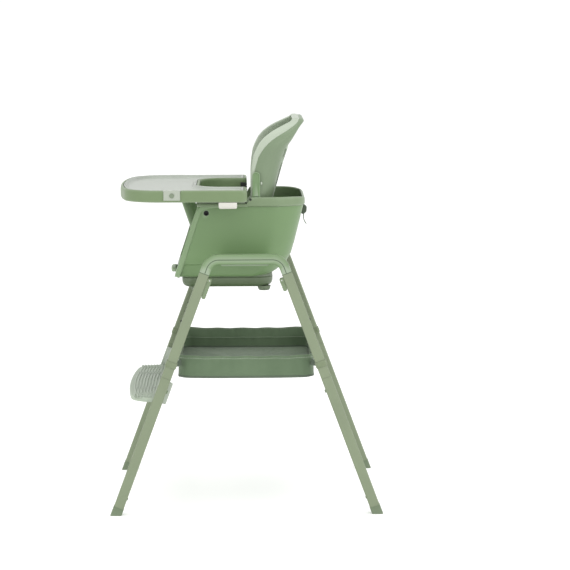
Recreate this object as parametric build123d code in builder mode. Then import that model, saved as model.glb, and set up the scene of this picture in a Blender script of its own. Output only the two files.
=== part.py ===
from build123d import *

import os
from math import atan2, cos, radians, sin, tan

# A baby high chair. Millimetres, +Z up, floor at Z = 0, child faces -Y, left hand at +X.
# The chair is symmetrical about X = 0, and its four feet are symmetrical about Y = 0.

os.makedirs("parts", exist_ok=True)

SIDES = {"left": 1, "right": -1}
ENDS = {"front": 1, "rear": -1}

# ---- Driving dimensions -------------------------------------------------------------

# Leg frames: one n of square tube on each side
frame_width = 584.0
leg_across = 22.0
leg_depth = 25.0
leg_corner = 4.0
leg_wall = 1.5
leg_lean = 20.37
foot_reach = 327.7
foot_height = 20.0
shoe_overhang = 0.8
leg_seam = 347.0
bridge_seam = 608.0
bridge_height = 643.5
bridge_bend = 32.5
bridge_parting = 1.0
parting_gap = 1.2
seam_gap = 0.5
tube_fit = 0.3
core_wall = 1.8
core_insert = 58.0
joiner_length = 110.0

# Snap buttons, catches and holes on the legs
button_height = 316.0
button_radius = 4.2
button_proud = 3.0
button_strip = 1.0
button_strip_width = 11.4
button_strip_length = 33.6
button_round = 1.2
snap_tab_height = 45.0
snap_tab_radius = 3.4
catch_height = 597.0
catch_pin_radius = 1.5
running_fit = 0.05
front_catch_length = 54.0
rear_catch_length = 34.0
catch_thickness = 11.0
catch_gap = 0.3
catch_side_step = 2.0
catch_rib_radius = 1.6
catch_rib_pitch = 7.0
catch_rib_start = 12.0
ear_thickness = 2.0
front_leg_holes = {462.0: 1.6, 448.0: 1.6, 438.0: 1.6, 411.0: 3.2}
rear_leg_holes = {414.0: 2.6}

# Seat bowl: half width, front and rear at three heights
bowl_bottom = 583.0
bowl_waist = 629.0
bowl_brim = 762.7
bowl_bottom_half_width = 158.0
bowl_waist_half_width = 165.0
bowl_brim_half_width = 168.5
bowl_bottom_front = -180.3
bowl_waist_front = -165.0
bowl_brim_front = -121.0
bowl_bottom_rear = 90.8
bowl_waist_rear = 115.7
bowl_brim_rear = 148.5
bowl_bottom_corner = 50.0
bowl_brim_corner = 74.0
bowl_wall = 4.0
bowl_cavity_reach = 60.0
pan_height = 605.0
rim_height = 787.0
rim_lip = 3.6
rim_step = 9.5
rim_low_height = 771.0
flange_width = 18.0
flange_inset = 13.0
flange_proud = 3.0
lip_reach = 12.0
lip_half_width = 125.0
socket_hole_radius = 6.75
socket_y = -98.0
socket_z = 747.0
socket_length = 14.0
socket_wall = 1.2
socket_collar = 1.6
side_recess = 1.5
rim_hole_radius = 3.0
strap_slot_width = 30.0
strap_slot_height = 5.0
waist_slot_y = -58.0
waist_slot_z = 664.0

# Base under the bowl, its feet and screws
base_bottom = 556.0
base_front = -161.0
base_rear = 85.0
base_fit = 0.6
base_wall = 3.0
base_nest = 7.0
base_foot_drop = 10.0
base_foot_inset = 38.0
base_foot_radius = 17.0
base_foot_taper = 14.0
base_round = 8.0
screw_radius = 2.0
screw_head_radius = 4.0
screw_head_height = 2.4
screw_fit = 0.15
head_clearance = 0.5

# Cradle arms that carry the bowl on the leg frames
cradle_bottom = 625.0
cradle_top = 641.0
cradle_flange_top = 655.0
cradle_front = -62.0
cradle_rear = 58.0
cradle_flange = 6.0
cradle_wall = 3.0
cradle_corner = 5.0
cradle_screw_inset = 18.0
seat_gap = 0.2

# Rear clip and the strap through it
clip_middle = 740.0
clip_width = 26.0
clip_height = 30.0
clip_depth = 7.0
clip_corner = 3.0
clip_slot_width = 18.0
clip_slot_depth = 3.0
clip_slot_wall = 2.5
rear_strap_width = 17.0
rear_strap_length = 46.0
rear_strap_rise = 9.0
rear_strap_thickness = 1.6
rear_clip_gap = 0.3

# Crotch post
post_top = 778.0
post_foot_y = -95.0
post_head_y = -152.0
post_foot_width = 60.0
post_head_width = 44.0
post_depth = 35.0
post_wall = 3.0
post_corner = 14.0

# Backrest scoop and its hinge
hinge_y = -2.0
hinge_z = 726.0
hinge_radius = 5.0
hinge_head_radius = 8.0
hinge_head_thickness = 3.0
hinge_head_gap = 0.4
spigot_gap = 0.2
recline_middle = 12.8
recline_full = 20.4
back_gap = 1.0
back_wall = 4.0
back_top = 981.0
back_arch_radius = 70.0
back_corner = 44.0
back_lower = 648.0
wing_front = 16.0
ear_front = -15.0
ear_rise = 14.0
ear_top = 36.0
tab_width = 20.0
tab_y = 28.0
tab_top = 850.0
tab_thickness = 8.0
tab_gap = 2.6

# The back wall's outer line in the side view: height and depth, from the bottom up
back_profile = {
    back_lower: 33.0,
    726.0: 53.0,
    804.0: 74.3,
    873.0: 92.9,
    919.0: 109.1,
    961.6: 134.8,
    986.0: 154.0,
}
slot_low = 873.0
slot_high = 919.0

# The wings' front edge in the side view, from the top of its straight part to the top
wing_bend = 838.0
wing_curve = [(22.0, 888.0), (36.0, 917.0), (58.0, 939.0), (88.0, 957.0), (118.0, 973.0)]
block_margin = 10.0

# Recline latch
latch_bar_radius = 4.0
latch_bar_half_length = 70.0
latch_reach = 70.0
latch_angle = -31.0
latch_travel = 4.5
latch_clearance = 1.0
rack_x = 40.0
rack_thickness = 8.0
guide_x = 60.0
guide_thickness = 10.0
guide_depth = 30.0
guide_height = 26.0
guide_shift = 4.0
guide_corner = 3.0
latch_fit = 0.3
latch_steps = 5
handle_half_width = 34.0
handle_foot = 7.0
handle_top_front = (14.0, 768.0)
handle_top_rear = (24.0, 766.0)
handle_frame = 8.0
handle_window_height = 48.0
handle_window_z = 728.0
handle_window_corner = 6.0
rack_angles = (-24.0, -40.0, -57.0)
rack_front = 90.0

# Harness
webbing_width = 25.0
webbing_thickness = 2.0
webbing_gap = 0.3
shoulder_x = 50.0
shoulder_slot_z = 904.0
shoulder_strap_end = 700.0
shoulder_strap_gap = 1.2
tongue_gap = 1.8
tongue_set_down = 0.5
retainer_height = 18.0
retainer_thickness = 3.0
retainer_corner = 4.0
retainer_border = 3.0
retainer_slot_width = 26.0
crotch_strap_length = 38.0
waist_strap_bend = 12.0
waist_strap_end = 58.0
waist_strap_spread = 4.0
tongue_length = 34.0
tongue_thickness = 5.0
buckle_size = 44.0
buckle_height = 14.0
buckle_round = 4.0

# Tray, insert, clips and release levers
tray_half_width = 254.0
tray_front = -320.0
tray_side_front = -290.0
tray_front_corner = 95.0
tray_rear = 5.0
tray_rear_corner = 12.0
tray_bottom = 781.8
tray_top = 806.0
tray_wall = 3.5
tray_rim = 8.0
tray_floor_top = 800.0
tray_floor_bottom = 796.5
belly_inset = 18.0
belly_front = -116.0
belly_corner = 65.0
insert_top = 812.0
insert_fit = 0.4
insert_wall = 2.0
clip_y = -181.6
clip_length = 41.0
clip_bottom = 787.0
clip_knuckle_radius = 2.4
clip_pin_radius = 1.0
clip_plate = 2.2
dot_radius = 6.25
dot_z = 799.0
lever_y = -43.0
lever_length = 46.0
lever_bottom = 765.0
lever_grip_depth = 17.0
lever_travel = 5.0
cover_plate = 2.5
rail_neck = 6.0
rail_head = 14.0
rail_inset = 10.5
rail_front = -120.0
rail_fit = 0.5
rack_tooth_pitch = 7.0
rack_tooth_depth = 4.0
tray_rack_depth = 14.0
tray_rack_width = 13.0
tray_rack_bottom = 764.0

# Footrest and basket
footrest_gap = 8.0
footrest_front = -302.0
footrest_side_front = -286.0
footrest_rear = -212.0
footrest_corner = 62.0
footrest_top = 293.6
footrest_thickness = 11.6
footrest_wall = 3.0
bracket_top = 338.0
bracket_bottom = 285.0
bracket_overhang = 9.0
bracket_fit = 0.3
bracket_corner = 4.0
tread_gap = 0.1
basket_gap = 22.0
basket_half_depth = 170.0
basket_bottom = 343.0
basket_top = 400.0
basket_corner = 28.0
basket_wall = 2.5
loop_height = 381.0
loop_width = 16.0
loop_thickness = 1.5
loop_fit = 0.4
strap_standoff = 0.8
strap_set_in = 2.0

# ---- Shared geometry ----------------------------------------------------------------

lean = radians(leg_lean)
leg_x = frame_width / 2 - leg_across / 2
leg_inner_face = leg_x - leg_across / 2
core_across = leg_across - 2 * leg_wall - 2 * tube_fit
core_depth = leg_depth - 2 * leg_wall - 2 * tube_fit
footrest_half_width = leg_inner_face - footrest_gap
basket_half_width = leg_inner_face - basket_gap
back_half_width = bowl_waist_half_width - bowl_wall - back_gap
rail_x = bowl_brim_half_width - rail_inset
belly_half_width = rail_x - belly_inset


def save(piece, label):
    """Label a finished piece and write it."""
    piece.part.label = label
    export_step(piece.part, f"parts/{label}.step")


def leg_y(height):
    """How far a leg's centre line stands from the middle of the chair."""
    return foot_reach - height * tan(lean)


def leg_plane(side, end, height):
    """The plane across a leg: local Y points to the inside of the n, Z up the leg."""
    return Plane(
        origin=(SIDES[side] * leg_x, -ENDS[end] * leg_y(height), height),
        x_dir=(ENDS[end], 0, 0),
        z_dir=(0, ENDS[end] * sin(lean), cos(lean)),
    )


def leg_edge_plane(side, end, height):
    """The plane along a leg whose normal points out of the leg's inner edge."""
    across = leg_plane(side, end, height)
    return Plane(origin=across.origin, x_dir=across.x_dir, z_dir=across.y_dir)


def side_plane(x):
    """A plane parallel to the side view: local X is the chair's Y, local Y is Z."""
    return Plane.YZ.offset(x)


def tube_section(across, depth, wall):
    """The outline of a rounded tube with its bore."""
    RectangleRounded(across, depth, leg_corner)
    RectangleRounded(across - 2 * wall, depth - 2 * wall, leg_corner - wall, mode=Mode.SUBTRACT)


def bridge_path(side, lowest):
    """The centre line of one n, from a height on the front leg to the rear leg."""
    with BuildLine(side_plane(SIDES[side] * leg_x)) as path:
        FilletPolyline(
            (-leg_y(lowest), lowest),
            (-leg_y(bridge_height), bridge_height),
            (leg_y(bridge_height), bridge_height),
            (leg_y(lowest), lowest),
            radius=bridge_bend,
        )
    return path.wires()[0]


def between(low, high, low_value, high_value, height):
    """A value that runs evenly from one height to another."""
    return low_value + (high_value - low_value) * (height - low) / (high - low)


def bowl_at(height):
    """Half width, front, rear and rear corner radius of the bowl's outside at a height."""
    bottom = (bowl_bottom_half_width, bowl_bottom_front, bowl_bottom_rear, bowl_bottom_corner)
    waist = (bowl_waist_half_width, bowl_waist_front, bowl_waist_rear, bowl_brim_corner)
    brim = (bowl_brim_half_width, bowl_brim_front, bowl_brim_rear, bowl_brim_corner)
    if height >= bowl_brim:
        return brim
    if height >= bowl_waist:
        return [between(bowl_waist, bowl_brim, a, b, height) for a, b in zip(waist, brim)]
    return [between(bowl_bottom, bowl_waist, a, b, height) for a, b in zip(bottom, waist)]


def bowl_section(height, inset=0.0, front_reach=0.0):
    """The bowl's outline at a height, inset from its outside and reaching past its front."""
    half_width, front, rear, corner = bowl_at(height)
    front_edge = front + inset - front_reach
    rear_edge = rear - inset
    with BuildSketch(Plane.XY.offset(height)) as section:
        with Locations((0, (front_edge + rear_edge) / 2)):
            Rectangle(2 * (half_width - inset), rear_edge - front_edge)
        fillet(section.vertices().group_by(Axis.Y)[-1], radius=corner - inset)
    return section.sketch


def tray_section(height, inset=0.0):
    """The tray's outline with its belly cut-out at a height, inset from its edge."""
    belly_length = tray_rear - belly_front
    with BuildSketch(mode=Mode.PRIVATE) as belly:
        with Locations((0, belly_front + belly_length)):
            Rectangle(2 * belly_half_width, 2 * belly_length)
        fillet(belly.vertices().group_by(Axis.Y)[0], radius=belly_corner)
    with BuildSketch() as section:
        with BuildLine():
            front_left = (tray_half_width, tray_side_front)
            front_right = (-tray_half_width, tray_side_front)
            ThreePointArc(front_right, (0, tray_front), front_left)
            Polyline(front_left, (tray_half_width, tray_rear), (-tray_half_width, tray_rear), front_right)
        make_face()
        fillet(section.vertices().group_by(Axis.Y)[0], radius=tray_front_corner)
        add(belly.sketch, mode=Mode.SUBTRACT)
        fillet(section.vertices().group_by(Axis.Y)[-1], radius=tray_rear_corner)
        if inset:
            offset(amount=-inset, mode=Mode.REPLACE)
    return section.sketch.moved(Location((0, 0, height)))


# ---- Leg frames ---------------------------------------------------------------------

upper_length = (bridge_seam - leg_seam) / cos(lean) - seam_gap
lower_length = (leg_seam - foot_height) / cos(lean) - seam_gap
core_lowest = bridge_seam - core_insert * cos(lean)
button_seat = core_depth / 2 - core_wall - tube_fit

# The steel cores of the two n frames: bent tubes that plug into the upper legs
with BuildPart() as bridge_cores:
    for side in SIDES:
        with BuildSketch(leg_plane(side, "front", core_lowest)):
            tube_section(core_across, core_depth, core_wall)
        sweep(path=bridge_path(side, core_lowest))
save(bridge_cores, "bridge_cores")

# Their moulded covers meet in a parting line that follows the bend
for cover, way in {"outer": 1, "inner": -1}.items():
    with BuildPart() as bridge_covers:
        for side in SIDES:
            with BuildSketch(leg_plane(side, "front", bridge_seam)):
                tube_section(leg_across, leg_depth, leg_wall)
                with Locations((0, bridge_parting + way * (leg_depth - parting_gap / 2))):
                    Rectangle(2 * leg_across, 2 * leg_depth, mode=Mode.SUBTRACT)
            sweep(path=bridge_path(side, bridge_seam))
    save(bridge_covers, f"bridge_covers_{cover}")

for side, hand in SIDES.items():
    for end in ENDS:
        # Upper leg: square tube with adjustment holes in the face towards the child
        leg_holes = front_leg_holes if end == "front" else rear_leg_holes
        with BuildPart() as upper_leg:
            with BuildSketch(leg_plane(side, end, leg_seam)):
                tube_section(leg_across, leg_depth, leg_wall)
            extrude(amount=upper_length)
            for hole_height, hole_radius in leg_holes.items():
                with BuildSketch(side_plane(hand * leg_inner_face)):
                    with Locations((-ENDS[end] * leg_y(hole_height), hole_height)):
                        Circle(hole_radius)
                extrude(amount=2 * leg_wall, both=True, mode=Mode.SUBTRACT)
        save(upper_leg, f"upper_leg_{end}_{side}")

        # Lower leg: the same tube, with holes for the snap button and the foot's tab
        with BuildPart() as lower_leg:
            with BuildSketch(leg_plane(side, end, foot_height)):
                tube_section(leg_across, leg_depth, leg_wall)
            extrude(amount=lower_length)
            for hole_height, hole_radius in {
                button_height: button_radius,
                snap_tab_height: snap_tab_radius,
            }.items():
                with BuildSketch(leg_edge_plane(side, end, hole_height)):
                    Circle(hole_radius + tube_fit)
                extrude(amount=leg_depth, mode=Mode.SUBTRACT)
        save(lower_leg, f"lower_leg_{end}_{side}")

        # Snap button on its spring strip inside the joiner
        with BuildPart() as snap_button:
            button_plane = leg_edge_plane(side, end, button_height).offset(button_seat)
            with BuildSketch(button_plane.offset(-button_strip)):
                RectangleRounded(button_strip_width, button_strip_length, 2 * button_strip)
            extrude(amount=button_strip)
            with BuildSketch(button_plane):
                Circle(button_radius)
            extrude(amount=leg_depth / 2 + button_proud - button_seat)
            button_face = snap_button.faces().sort_by(Axis((0, 0, 0), button_plane.z_dir))[-1]
            fillet(button_face.edges(), radius=button_round)
        save(snap_button, f"snap_button_{end}_{side}")

# Joiners: a short tube inside each leg across the seam
with BuildPart() as leg_joiners:
    joiner_foot = leg_seam - joiner_length / 2 * cos(lean)
    for side in SIDES:
        for end in ENDS:
            with BuildSketch(leg_plane(side, end, joiner_foot)):
                tube_section(core_across, core_depth, core_wall)
            extrude(amount=joiner_length)
            with BuildSketch(leg_edge_plane(side, end, button_height)):
                Circle(button_radius + tube_fit)
            extrude(amount=leg_depth, mode=Mode.SUBTRACT)
save(leg_joiners, "leg_joiners")

# Foot caps: a shoe cut level with the floor, a plug up the tube and a snap tab
with BuildPart() as foot_caps:
    for side in SIDES:
        for end in ENDS:
            with BuildSketch(leg_plane(side, end, foot_height)):
                RectangleRounded(leg_across + 2 * shoe_overhang, leg_depth + 2 * shoe_overhang, leg_corner)
            extrude(amount=-2 * foot_height)
            with BuildSketch(leg_plane(side, end, foot_height)):
                RectangleRounded(core_across, core_depth, leg_corner - leg_wall)
            extrude(amount=(snap_tab_height - foot_height) / cos(lean) + 3 * snap_tab_radius)
            with BuildSketch(leg_edge_plane(side, end, snap_tab_height)):
                Circle(snap_tab_radius)
            extrude(amount=leg_depth / 2 + button_proud / 2)
    split(bisect_by=Plane.XY, keep=Keep.TOP)
save(foot_caps, "foot_caps")

# ---- Catches on the legs under the bridge -------------------------------------------

catch_across = leg_across - 2 * (ear_thickness + catch_gap + catch_side_step)
catch_pivot = leg_depth / 2 + catch_thickness / 2
ear_radius = catch_thickness / 2 - 1


def catch_plane(side, end):
    """The side-view plane at a catch, local X down the leg and local Y out of the leg."""
    across = leg_plane(side, end, catch_height)
    down = across.z_dir * -1
    out = across.y_dir
    return Plane(origin=across.origin, x_dir=down, z_dir=down.cross(out))


for side in SIDES:
    for end in ENDS:
        catch_length = front_catch_length if end == "front" else rear_catch_length
        catch_body = catch_thickness - 2 * catch_gap
        groove_count = 5 if end == "front" else 2
        with BuildPart() as leg_catch:
            with BuildSketch(catch_plane(side, end)):
                with Locations(((catch_length - catch_thickness) / 2, catch_pivot)):
                    RectangleRounded(catch_length, catch_body, 0.49 * catch_body)
                for groove in range(groove_count):
                    groove_x = catch_length - catch_rib_start - catch_rib_pitch * groove
                    with Locations((groove_x, catch_pivot + catch_thickness / 2)):
                        Circle(catch_rib_radius, mode=Mode.SUBTRACT)
                with Locations((0, catch_pivot)):
                    Circle(catch_pin_radius + running_fit, mode=Mode.SUBTRACT)
            extrude(amount=catch_across / 2, both=True)
        save(leg_catch, f"leg_catch_{end}_{side}")

with BuildPart() as catch_ears:
    for side in SIDES:
        for end in ENDS:
            ear_plane = catch_plane(side, end)
            for way in (1, -1):
                ear_x = way * (catch_across / 2 + catch_gap)
                with BuildSketch(ear_plane.offset(ear_x)):
                    with Locations((0, leg_depth / 2 + catch_thickness / 4)):
                        Rectangle(2 * ear_radius, catch_thickness / 2)
                    with Locations((0, catch_pivot)):
                        Circle(ear_radius)
                        Circle(catch_pin_radius + running_fit, mode=Mode.SUBTRACT)
                extrude(amount=way * ear_thickness)
save(catch_ears, "catch_ears")

with BuildPart() as catch_pins:
    pin_half_length = catch_across / 2 + catch_gap + ear_thickness
    for side in SIDES:
        for end in ENDS:
            with BuildSketch(catch_plane(side, end)):
                with Locations((0, catch_pivot)):
                    Circle(catch_pin_radius)
            extrude(amount=pin_half_length, both=True)
save(catch_pins, "catch_pins")

# ---- Seat bowl ----------------------------------------------------------------------

skirt_ceiling = pan_height - bowl_wall
rim_outer = bowl_brim_half_width + rim_lip
boss_face = bowl_brim_half_width - bowl_wall - side_recess
base_screw_y = {"front": base_front + base_foot_inset, "rear": base_rear - base_foot_inset}
base_screw_x = bowl_bottom_half_width - base_foot_inset
screw_boss_radius = 3 * screw_radius
screw_reach = skirt_ceiling - base_bottom - bowl_wall
hinge_stub_radius = hinge_radius - 1

with BuildPart() as seat_bowl:
    # Outside: bottom to waist, waist to brim, then straight up to the rim
    loft([bowl_section(bowl_bottom), bowl_section(bowl_waist)], ruled=True)
    loft([bowl_section(bowl_waist), bowl_section(bowl_brim)], ruled=True)
    extrude(bowl_section(bowl_brim), amount=rim_height - bowl_brim)

    # Rim band round the brim
    with BuildSketch(Plane.XY.offset(bowl_brim)) as rim_band:
        with Locations((0, (bowl_brim_front + bowl_brim_rear + rim_lip) / 2)):
            Rectangle(2 * rim_outer, bowl_brim_rear + rim_lip - bowl_brim_front)
        fillet(rim_band.vertices().group_by(Axis.Y)[-1], radius=bowl_brim_corner + rim_lip)
    extrude(amount=rim_height - bowl_brim)

    # Cavity for the child, open at the top and the front
    cavity = [
        bowl_section(height, bowl_wall, bowl_cavity_reach)
        for height in (pan_height, bowl_waist, bowl_brim)
    ]
    loft(cavity[0:2], ruled=True, mode=Mode.SUBTRACT)
    loft(cavity[1:3], ruled=True, mode=Mode.SUBTRACT)
    extrude(cavity[2], amount=rim_height - bowl_brim, mode=Mode.SUBTRACT)

    # Skirt under the pan, open at the bottom
    skirt = [bowl_section(height, bowl_wall) for height in (bowl_bottom, skirt_ceiling)]
    loft(skirt, ruled=True, mode=Mode.SUBTRACT)

    # Raised flanges down the front edges of both sides
    for way in SIDES.values():
        with BuildSketch(side_plane(way * (bowl_waist_half_width - flange_inset))):
            with BuildLine():
                Polyline(
                    (bowl_bottom_front, bowl_bottom),
                    (bowl_brim_front, bowl_brim),
                    (bowl_brim_front + flange_width, bowl_brim),
                    (bowl_bottom_front + flange_width, bowl_bottom),
                    close=True,
                )
            make_face()
        extrude(amount=way * (flange_inset + flange_proud + bowl_brim_half_width - bowl_waist_half_width))

    # Rounded lip along the front of the pan
    with BuildSketch(Plane.YZ):
        with Locations((bowl_bottom_front - lip_reach / 2 + bowl_wall, pan_height - lip_reach)):
            Rectangle(lip_reach + 2 * bowl_wall, 2 * lip_reach)
        fillet(vertices().group_by(Axis.X)[0], radius=lip_reach - 2)
    extrude(amount=lip_half_width, both=True)

    # The rim is lower in front of the step, where the tray's rails stand
    with BuildSketch(Plane.XY.offset(rim_low_height)):
        with Locations((0, rim_step - frame_width / 2)):
            Rectangle(frame_width, frame_width)
    extrude(amount=rim_height, mode=Mode.SUBTRACT)

    # Bosses for the backrest hinge, with a blind hole for each pin's spigot
    for way in SIDES.values():
        with BuildSketch(side_plane(way * boss_face)):
            with Locations((hinge_y, hinge_z)):
                Circle(2 * hinge_radius)
        extrude(amount=way * (bowl_brim_half_width - boss_face - bowl_wall / 2))
        with BuildSketch(side_plane(way * boss_face)):
            with Locations((hinge_y, hinge_z)):
                Circle(hinge_stub_radius + running_fit)
        extrude(amount=way * bowl_wall / 2, mode=Mode.SUBTRACT)

    # Screw bosses under the pan
    for screw_y in base_screw_y.values():
        with BuildSketch(Plane.XY.offset(skirt_ceiling)):
            with Locations((base_screw_x, screw_y), (-base_screw_x, screw_y)):
                Circle(screw_boss_radius)
        extrude(amount=bowl_bottom - skirt_ceiling)
        with BuildSketch(Plane.XY.offset(bowl_bottom)):
            with Locations((base_screw_x, screw_y), (-base_screw_x, screw_y)):
                Circle(screw_radius + running_fit)
        extrude(amount=skirt_ceiling - bowl_bottom, mode=Mode.SUBTRACT)

    # Round holes for the side sockets, and a small dimple by the rim's step
    with BuildSketch(side_plane(-frame_width / 2)):
        with Locations((socket_y, socket_z)):
            Circle(socket_hole_radius)
    extrude(amount=frame_width, mode=Mode.SUBTRACT)
    for way in SIDES.values():
        with BuildSketch(side_plane(way * rim_outer)):
            with Locations((rim_step + rim_hole_radius, rim_height - 2 * rim_hole_radius)):
                Circle(rim_hole_radius)
        extrude(amount=-way * rim_lip, mode=Mode.SUBTRACT)

    # Slots for the waist straps in the sides and for the crotch strap in the pan
    with BuildSketch(side_plane(-frame_width / 2)):
        with Locations((waist_slot_y, waist_slot_z)):
            Rectangle(strap_slot_width, strap_slot_height)
    extrude(amount=frame_width, mode=Mode.SUBTRACT)
    with BuildSketch(Plane.XY.offset(skirt_ceiling)):
        with Locations((0, post_foot_y + post_depth)):
            Rectangle(strap_slot_width, strap_slot_height)
    extrude(amount=bowl_wall, mode=Mode.SUBTRACT)
save(seat_bowl, "seat_bowl")

# Blind sockets behind the round holes in the bowl's sides
with BuildPart() as side_sockets:
    socket_face = bowl_brim_half_width - side_recess
    for way in SIDES.values():
        with BuildSketch(side_plane(way * socket_face)):
            with Locations((socket_y, socket_z)):
                Circle(socket_hole_radius - running_fit)
        extrude(amount=-way * socket_length)
        with BuildSketch(side_plane(way * (boss_face - bowl_wall / 2))):
            with Locations((socket_y, socket_z)):
                Circle(socket_hole_radius + side_recess)
        extrude(amount=-way * socket_collar)
        with BuildSketch(side_plane(way * socket_face)):
            with Locations((socket_y, socket_z)):
                Circle(socket_hole_radius - socket_wall)
        extrude(amount=-way * (socket_length - 2), mode=Mode.SUBTRACT)
save(side_sockets, "side_sockets")

# Crotch post: a hollow leaning post between the child's legs
with BuildPart() as crotch_post:
    for shrink, mode in {0.0: Mode.ADD, post_wall: Mode.SUBTRACT}.items():
        with BuildSketch(Plane.XY.offset(pan_height)):
            with Locations((0, post_foot_y)):
                RectangleRounded(
                    post_foot_width - 2 * shrink, post_depth - 2 * shrink, post_corner - shrink
                )
        with BuildSketch(Plane.XY.offset(post_top - shrink)):
            with Locations((0, post_head_y)):
                RectangleRounded(
                    post_head_width - 2 * shrink, post_depth - 2 * shrink, post_corner - shrink
                )
        loft(mode=mode)
save(crotch_post, "crotch_post")

# ---- Base, feet, cradle arms and screws ---------------------------------------------

base_half_width = bowl_bottom_half_width - bowl_wall - base_fit
base_shell_rear = min(base_rear, bowl_bottom_rear - bowl_wall - base_fit)
base_corner = bowl_bottom_corner - bowl_wall - base_fit

with BuildPart() as seat_base:
    for shrink, mode in {0.0: Mode.ADD, base_wall: Mode.SUBTRACT}.items():
        with BuildSketch(Plane.XY.offset(base_bottom + shrink)) as base_floor:
            with Locations((0, (base_front + base_shell_rear) / 2)):
                Rectangle(2 * (base_half_width - shrink), base_shell_rear - base_front - 2 * shrink)
            fillet(base_floor.vertices().group_by(Axis.Y)[-1], radius=base_corner - shrink)
            fillet(base_floor.vertices().group_by(Axis.Y)[0], radius=base_corner / 2 - shrink)
        extrude(amount=bowl_bottom + base_nest - base_bottom - shrink, mode=mode)
        if mode == Mode.ADD:
            fillet(seat_base.faces().sort_by(Axis.Z)[0].edges(), radius=base_round)
    for screw_y in base_screw_y.values():
        with BuildSketch(Plane.XY.offset(base_bottom)):
            with Locations((base_screw_x, screw_y), (-base_screw_x, screw_y)):
                Circle(screw_boss_radius)
        extrude(amount=bowl_bottom - base_bottom)
        with BuildSketch(Plane.XY.offset(base_bottom)):
            with Locations((base_screw_x, screw_y), (-base_screw_x, screw_y)):
                Circle(screw_radius + screw_fit)
        extrude(amount=bowl_bottom - base_bottom, mode=Mode.SUBTRACT)
save(seat_base, "seat_base")

# Rubber feet: a ring pad under each corner, with the screw's head inside it
with BuildPart() as base_feet:
    for screw_y in base_screw_y.values():
        with BuildSketch(Plane.XY.offset(base_bottom)):
            with Locations((base_screw_x, screw_y), (-base_screw_x, screw_y)):
                Circle(base_foot_radius)
        extrude(amount=-base_foot_drop, taper=base_foot_taper)
        with BuildSketch(Plane.XY.offset(base_bottom)):
            with Locations((base_screw_x, screw_y), (-base_screw_x, screw_y)):
                Circle(screw_head_radius + head_clearance)
        extrude(amount=-base_foot_drop, mode=Mode.SUBTRACT)
save(base_feet, "base_feet")

# Cradle arms: box beams from the bowl's sides to the n frames
cradle_bowl_half_width = bowl_at(cradle_top)[0]
cradle_middle = (cradle_front + cradle_rear) / 2
cradle_length = cradle_rear - cradle_front
cradle_screw_y = (cradle_front + cradle_screw_inset, cradle_rear - cradle_screw_inset)
cradle_screw_z = cradle_flange_top - 3 * screw_radius

beam_height = cradle_top - cradle_bottom
beam_length = leg_inner_face - cradle_bowl_half_width - seat_gap
cradle_screws_at = [(screw_y, cradle_screw_z) for screw_y in cradle_screw_y]

with BuildPart() as cradle_arms:
    for hand in SIDES.values():
        with BuildSketch(side_plane(hand * (leg_inner_face - beam_length))):
            with Locations((cradle_middle, cradle_bottom + beam_height / 2)):
                RectangleRounded(cradle_length, beam_height, cradle_corner)
                RectangleRounded(
                    cradle_length - 2 * cradle_wall,
                    beam_height - 2 * cradle_wall,
                    cradle_corner - cradle_wall,
                    mode=Mode.SUBTRACT,
                )
        extrude(amount=hand * beam_length)
        with BuildSketch(side_plane(hand * leg_inner_face)):
            with Locations((cradle_middle, (cradle_bottom + cradle_flange_top) / 2)):
                RectangleRounded(cradle_length, cradle_flange_top - cradle_bottom, cradle_corner)
        extrude(amount=-hand * cradle_flange)
        with BuildSketch(side_plane(hand * leg_inner_face)):
            with Locations(*cradle_screws_at):
                Circle(screw_radius + screw_fit)
        extrude(amount=-hand * cradle_flange, mode=Mode.SUBTRACT)
save(cradle_arms, "cradle_arms")

# Screws: four up through the feet into the pan's bosses, four through the cradle's flanges
with BuildPart() as seat_screws:
    for screw_y in base_screw_y.values():
        for amount, radius in {-screw_head_height: screw_head_radius, screw_reach: screw_radius}.items():
            with BuildSketch(Plane.XY.offset(base_bottom)):
                with Locations((base_screw_x, screw_y), (-base_screw_x, screw_y)):
                    Circle(radius)
            extrude(amount=amount)
    for hand in SIDES.values():
        shank = seat_gap - cradle_flange
        for amount, radius in {screw_head_height: screw_head_radius, shank: screw_radius}.items():
            with BuildSketch(side_plane(hand * (leg_inner_face - cradle_flange))):
                with Locations(*cradle_screws_at):
                    Circle(radius)
            extrude(amount=-hand * amount)
save(seat_screws, "seat_screws")

# ---- Rear clip with its strap tail --------------------------------------------------

rear_slope = atan2(bowl_brim_rear - bowl_waist_rear, bowl_brim - bowl_waist)
rear_wall = Plane(
    origin=(0, bowl_at(clip_middle)[2] + rear_clip_gap / cos(rear_slope), clip_middle),
    x_dir=(1, 0, 0),
    z_dir=(0, cos(rear_slope), -sin(rear_slope)),
)

with BuildPart() as rear_clip:
    with BuildSketch(rear_wall):
        RectangleRounded(clip_width, clip_height, clip_corner)
    extrude(amount=clip_depth)
    with BuildSketch(rear_wall.offset(clip_slot_wall)):
        Rectangle(clip_slot_width, clip_height + clip_width)
    extrude(amount=clip_slot_depth, mode=Mode.SUBTRACT)
save(rear_clip, "rear_clip")

with BuildPart() as rear_strap:
    with BuildSketch(rear_wall.offset(clip_slot_wall + clip_slot_depth / 6)):
        with Locations((0, rear_strap_rise)):
            Rectangle(rear_strap_width, rear_strap_length)
    extrude(amount=rear_strap_thickness)
save(rear_strap, "rear_strap")

# ---- Backrest -----------------------------------------------------------------------

pivot_reach = latch_reach + latch_bar_radius + latch_clearance


def around_hinge(radius, angle):
    """A point in the side view at a radius and angle from the backrest's hinge."""
    return (hinge_y + radius * cos(radians(angle)), hinge_z + radius * sin(radians(angle)))


def back_curve(shift):
    """The back wall's outer curve in the side view, from the bottom up, moved forward by shift."""
    return [(depth - shift, height) for height, depth in back_profile.items()]


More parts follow.
